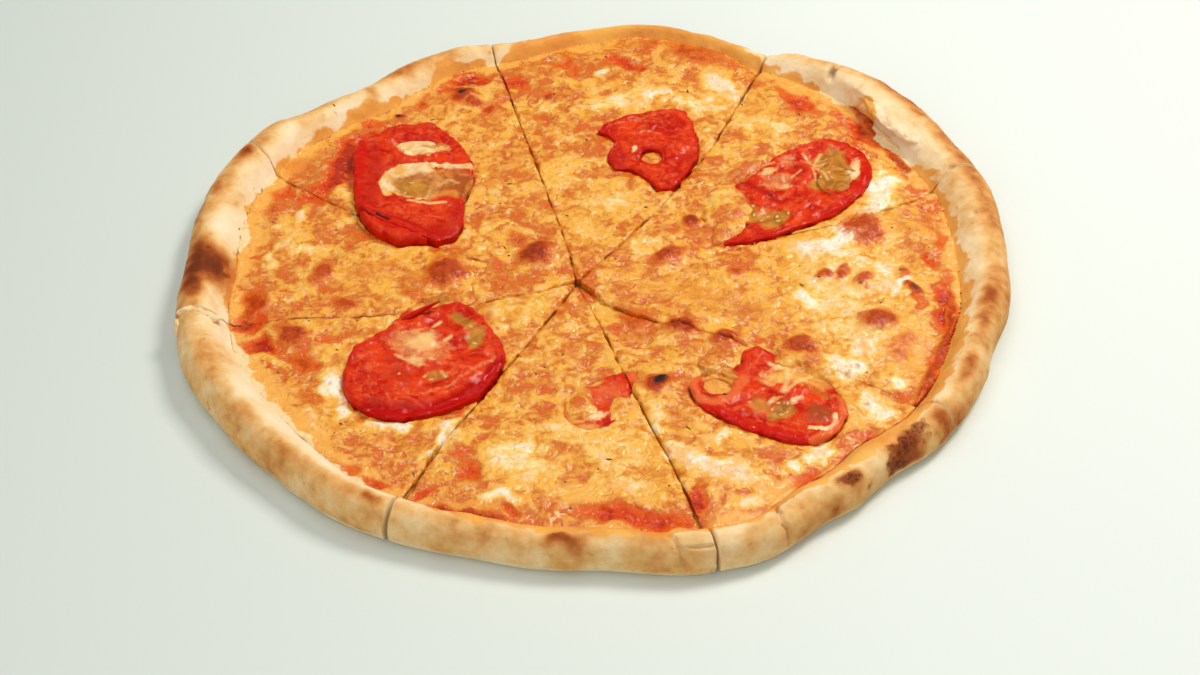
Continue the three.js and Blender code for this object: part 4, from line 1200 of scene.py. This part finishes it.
class PIZZA_OT_tomatoes(bpy.types.Operator):
    """Bakes the tomato slices and what fills their holes, and strews their seeds"""

    bl_idname = "pizza.tomatoes"
    bl_label = "Bake the tomatoes"

    def execute(self, context):
        flesh = baked_tomato()
        for name in TOMATO_NODES:
            piece = copy_of_node(name, name.replace("tomato", "tomato_slice"))
            self.shape(piece, name[len("tomato_") : -2], flesh, deeper=DEEPER.get(name, 0))
        # Each hole is filled up to its level with a plug that is a little wider, and is then rounded
        plug = bpy.ops.mesh.primitive_cylinder_add
        depth, wider = 4.6, 1.25
        for index, (key, x, y, half_length, half_width, top, kind) in enumerate(FILLS):
            name, place = f"tomato_fill_{index + 1}", (x, y, top - depth / 2)
            piece = placed(plug, name, place, (half_length, half_width, 1), vertices=32, radius=wider * MM,
                           depth=depth * MM)
            self.shape(piece, key, flesh, kind)
        self.curl(flesh)
        strew("tomato_seeds", self.seeds(), 3, tomato_seed())
        return {"FINISHED"}

    def curl(self, material):
        """A sliver of skin standing up along the back of the front left slice."""
        bpy.ops.object.select_all(action="DESELECT")
        bpy.ops.curve.primitive_nurbs_path_add(location=(0, 0, 0))
        piece = bpy.context.active_object
        piece.name = "tomato_curl"
        curve = piece.data
        curve.splines.clear()
        spline = curve.splines.new("NURBS")
        spline.points.add(len(CURL) - 1)
        for point, (x, y, z, thickness) in zip(spline.points, CURL):
            point.co = (x * MM, y * MM, z * MM, 1)
            point.radius = thickness
        spline.use_endpoint_u = True
        curve.bevel_depth = MM
        curve.bevel_resolution = 4
        curve.resolution_u = 8
        curve.use_fill_caps = True
        bpy.ops.object.convert(target="MESH")
        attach(piece, "root")
        store(piece, **{kind: 0.9 if kind == "wall" else 0 for kind in FLESH_HEIGHTS})
        finish_piece(piece, material)

    def shape(self, piece, key, material, base="", deeper=0):
        """Softens a slice, raises and sinks its parts, and stores what its material reads. A piece with a
        base is all of that kind of flesh."""
        apply_modifier(piece, "REMESH", mode="VOXEL", voxel_size=0.5 * MM)
        apply_modifier(piece, "SMOOTH", factor=0.5, iterations=5)
        points, normals = points_of(piece), normals_of(piece)
        top = smoothstep(0.1, 0.7, normals[:, 2])
        marks = TOMATOES[key]
        parts = {kind: zone(points, marks["zones"].get(kind, []), 0.3, 0.8) for kind in FLESH_HEIGHTS}
        for kind, strokes in marks["strokes"].items():
            for half_width, strength, path in strokes:
                near = near_path(points[:, :2], path) / half_width
                parts[kind] = np.maximum(parts[kind], strength * (1 - smoothstep(0.1, 1.4, near)))
        if base:
            parts[base] = np.ones(len(points))
        else:
            parts["skin"] = np.maximum(parts["skin"], self.skin_share(points, normals))
        emboss(piece, relief_texture("tomato_swells", 9, 0), 1.4, weigh(piece, "top", top))
        emboss(piece, relief_texture("tomato_edge", 5, 1), 1.5, middle=0.35)
        emboss(piece, relief_texture("tomato_wrinkles", 2.6, 1), 0.7)
        shift(piece, -marks["sink"] - deeper, "sink", top, "Z")
        for kind, height in FLESH_HEIGHTS.items():
            shift(piece, height, kind, top * parts[kind], "Z")
        # A vertex group and an attribute can't share a name
        piece.vertex_groups.clear()
        store(piece, **parts)
        finish_piece(piece, material)

    def skin_share(self, points, normals):
        """How near each point is to the slice's outer wall, which is skin."""
        wall = np.flatnonzero(np.abs(normals[:, 2]) < 0.3)
        tree = KDTree(len(wall))
        for index in wall:
            tree.insert((points[index, 0], points[index, 1], 0), int(index))
        tree.balance()
        away = np.array([tree.find((x, y, 0))[2] for x, y, _ in points])
        return np.maximum(1 - smoothstep(0.1, 0.6, normals[:, 2]), 0.62 * (1 - smoothstep(0.6, 2.6, away)))

    def seeds(self):
        """Place, half sizes and turns of each seed, which lies a little sunk into the jelly."""
        hosts = pieces_named("tomato_slice", "tomato_fill")
        for x, y, turn in SEEDS:
            yield (x, y, height_at(hosts, x, y) - 0.2), (1.1, 0.6, 0.42), (0, 0, math.radians(turn))


class PIZZA_OT_herbs(bpy.types.Operator):
    """Strews dried herb flecks over the topping"""

    bl_idname = "pizza.herbs"
    bl_label = "Strew the herbs"

    def execute(self, context):
        strew("herb_flecks", self.flecks(context.scene.pizza_sizes.herb_flecks), 2, dried_herb())
        return {"FINISHED"}

    def flecks(self, count):
        """Place, half sizes and turns of each fleck, at random where there is topping or crust."""
        rng = random.Random(HERB_SEED)
        hosts = pieces_named("melted_cheese", "tomato_slice", "bread")
        while count:
            angle, reach = rng.uniform(0, 2 * math.pi), TOPPING_REACH * math.sqrt(rng.random())
            x, y = reach * math.cos(angle), reach * math.sin(angle)
            level = height_at(hosts, x, y)
            if level < TOPPING_LEVEL:
                continue
            count -= 1
            half_sizes = (rng.choice((0.35, 0.4, 0.5, 0.9, 1.3)), rng.uniform(0.25, 0.45), 0.22)
            turns = (rng.uniform(-0.3, 0.3), rng.uniform(-0.3, 0.3), rng.uniform(0, math.pi))
            yield (x, y, level), half_sizes, turns


class PIZZA_PT_panel(bpy.types.Panel):
    """Sidebar panel with the pizza's pieces, sizes and colours"""

    bl_label = "Margherita pizza"
    bl_idname = "PIZZA_PT_panel"
    bl_space_type = "VIEW_3D"
    bl_region_type = "UI"
    bl_category = "Pizza"

    def draw(self, context):
        for group in (context.scene.pizza_sizes, context.scene.pizza_colours):
            for name in group.__annotations__:
                self.layout.prop(group, name)
        for operator in OPERATORS:
            self.layout.operator(operator.bl_idname)


OPERATORS = (PIZZA_OT_stage, PIZZA_OT_crusts, PIZZA_OT_cheese, PIZZA_OT_tomatoes, PIZZA_OT_herbs)
CLASSES = (PizzaSizes, PizzaColours, *OPERATORS, PIZZA_PT_panel)


def register():
    for each in CLASSES:
        bpy.utils.register_class(each)
    bpy.types.Scene.pizza_sizes = bpy.props.PointerProperty(type=PizzaSizes)
    bpy.types.Scene.pizza_colours = bpy.props.PointerProperty(type=PizzaColours)


def unregister():
    del bpy.types.Scene.pizza_colours
    del bpy.types.Scene.pizza_sizes
    for each in reversed(CLASSES):
        bpy.utils.unregister_class(each)


def main():
    register()
    bpy.ops.pizza.stage()
    bpy.ops.pizza.crusts()
    bpy.ops.pizza.cheese()
    bpy.ops.pizza.tomatoes()
    bpy.ops.pizza.herbs()


if __name__ == "__main__":
    main()
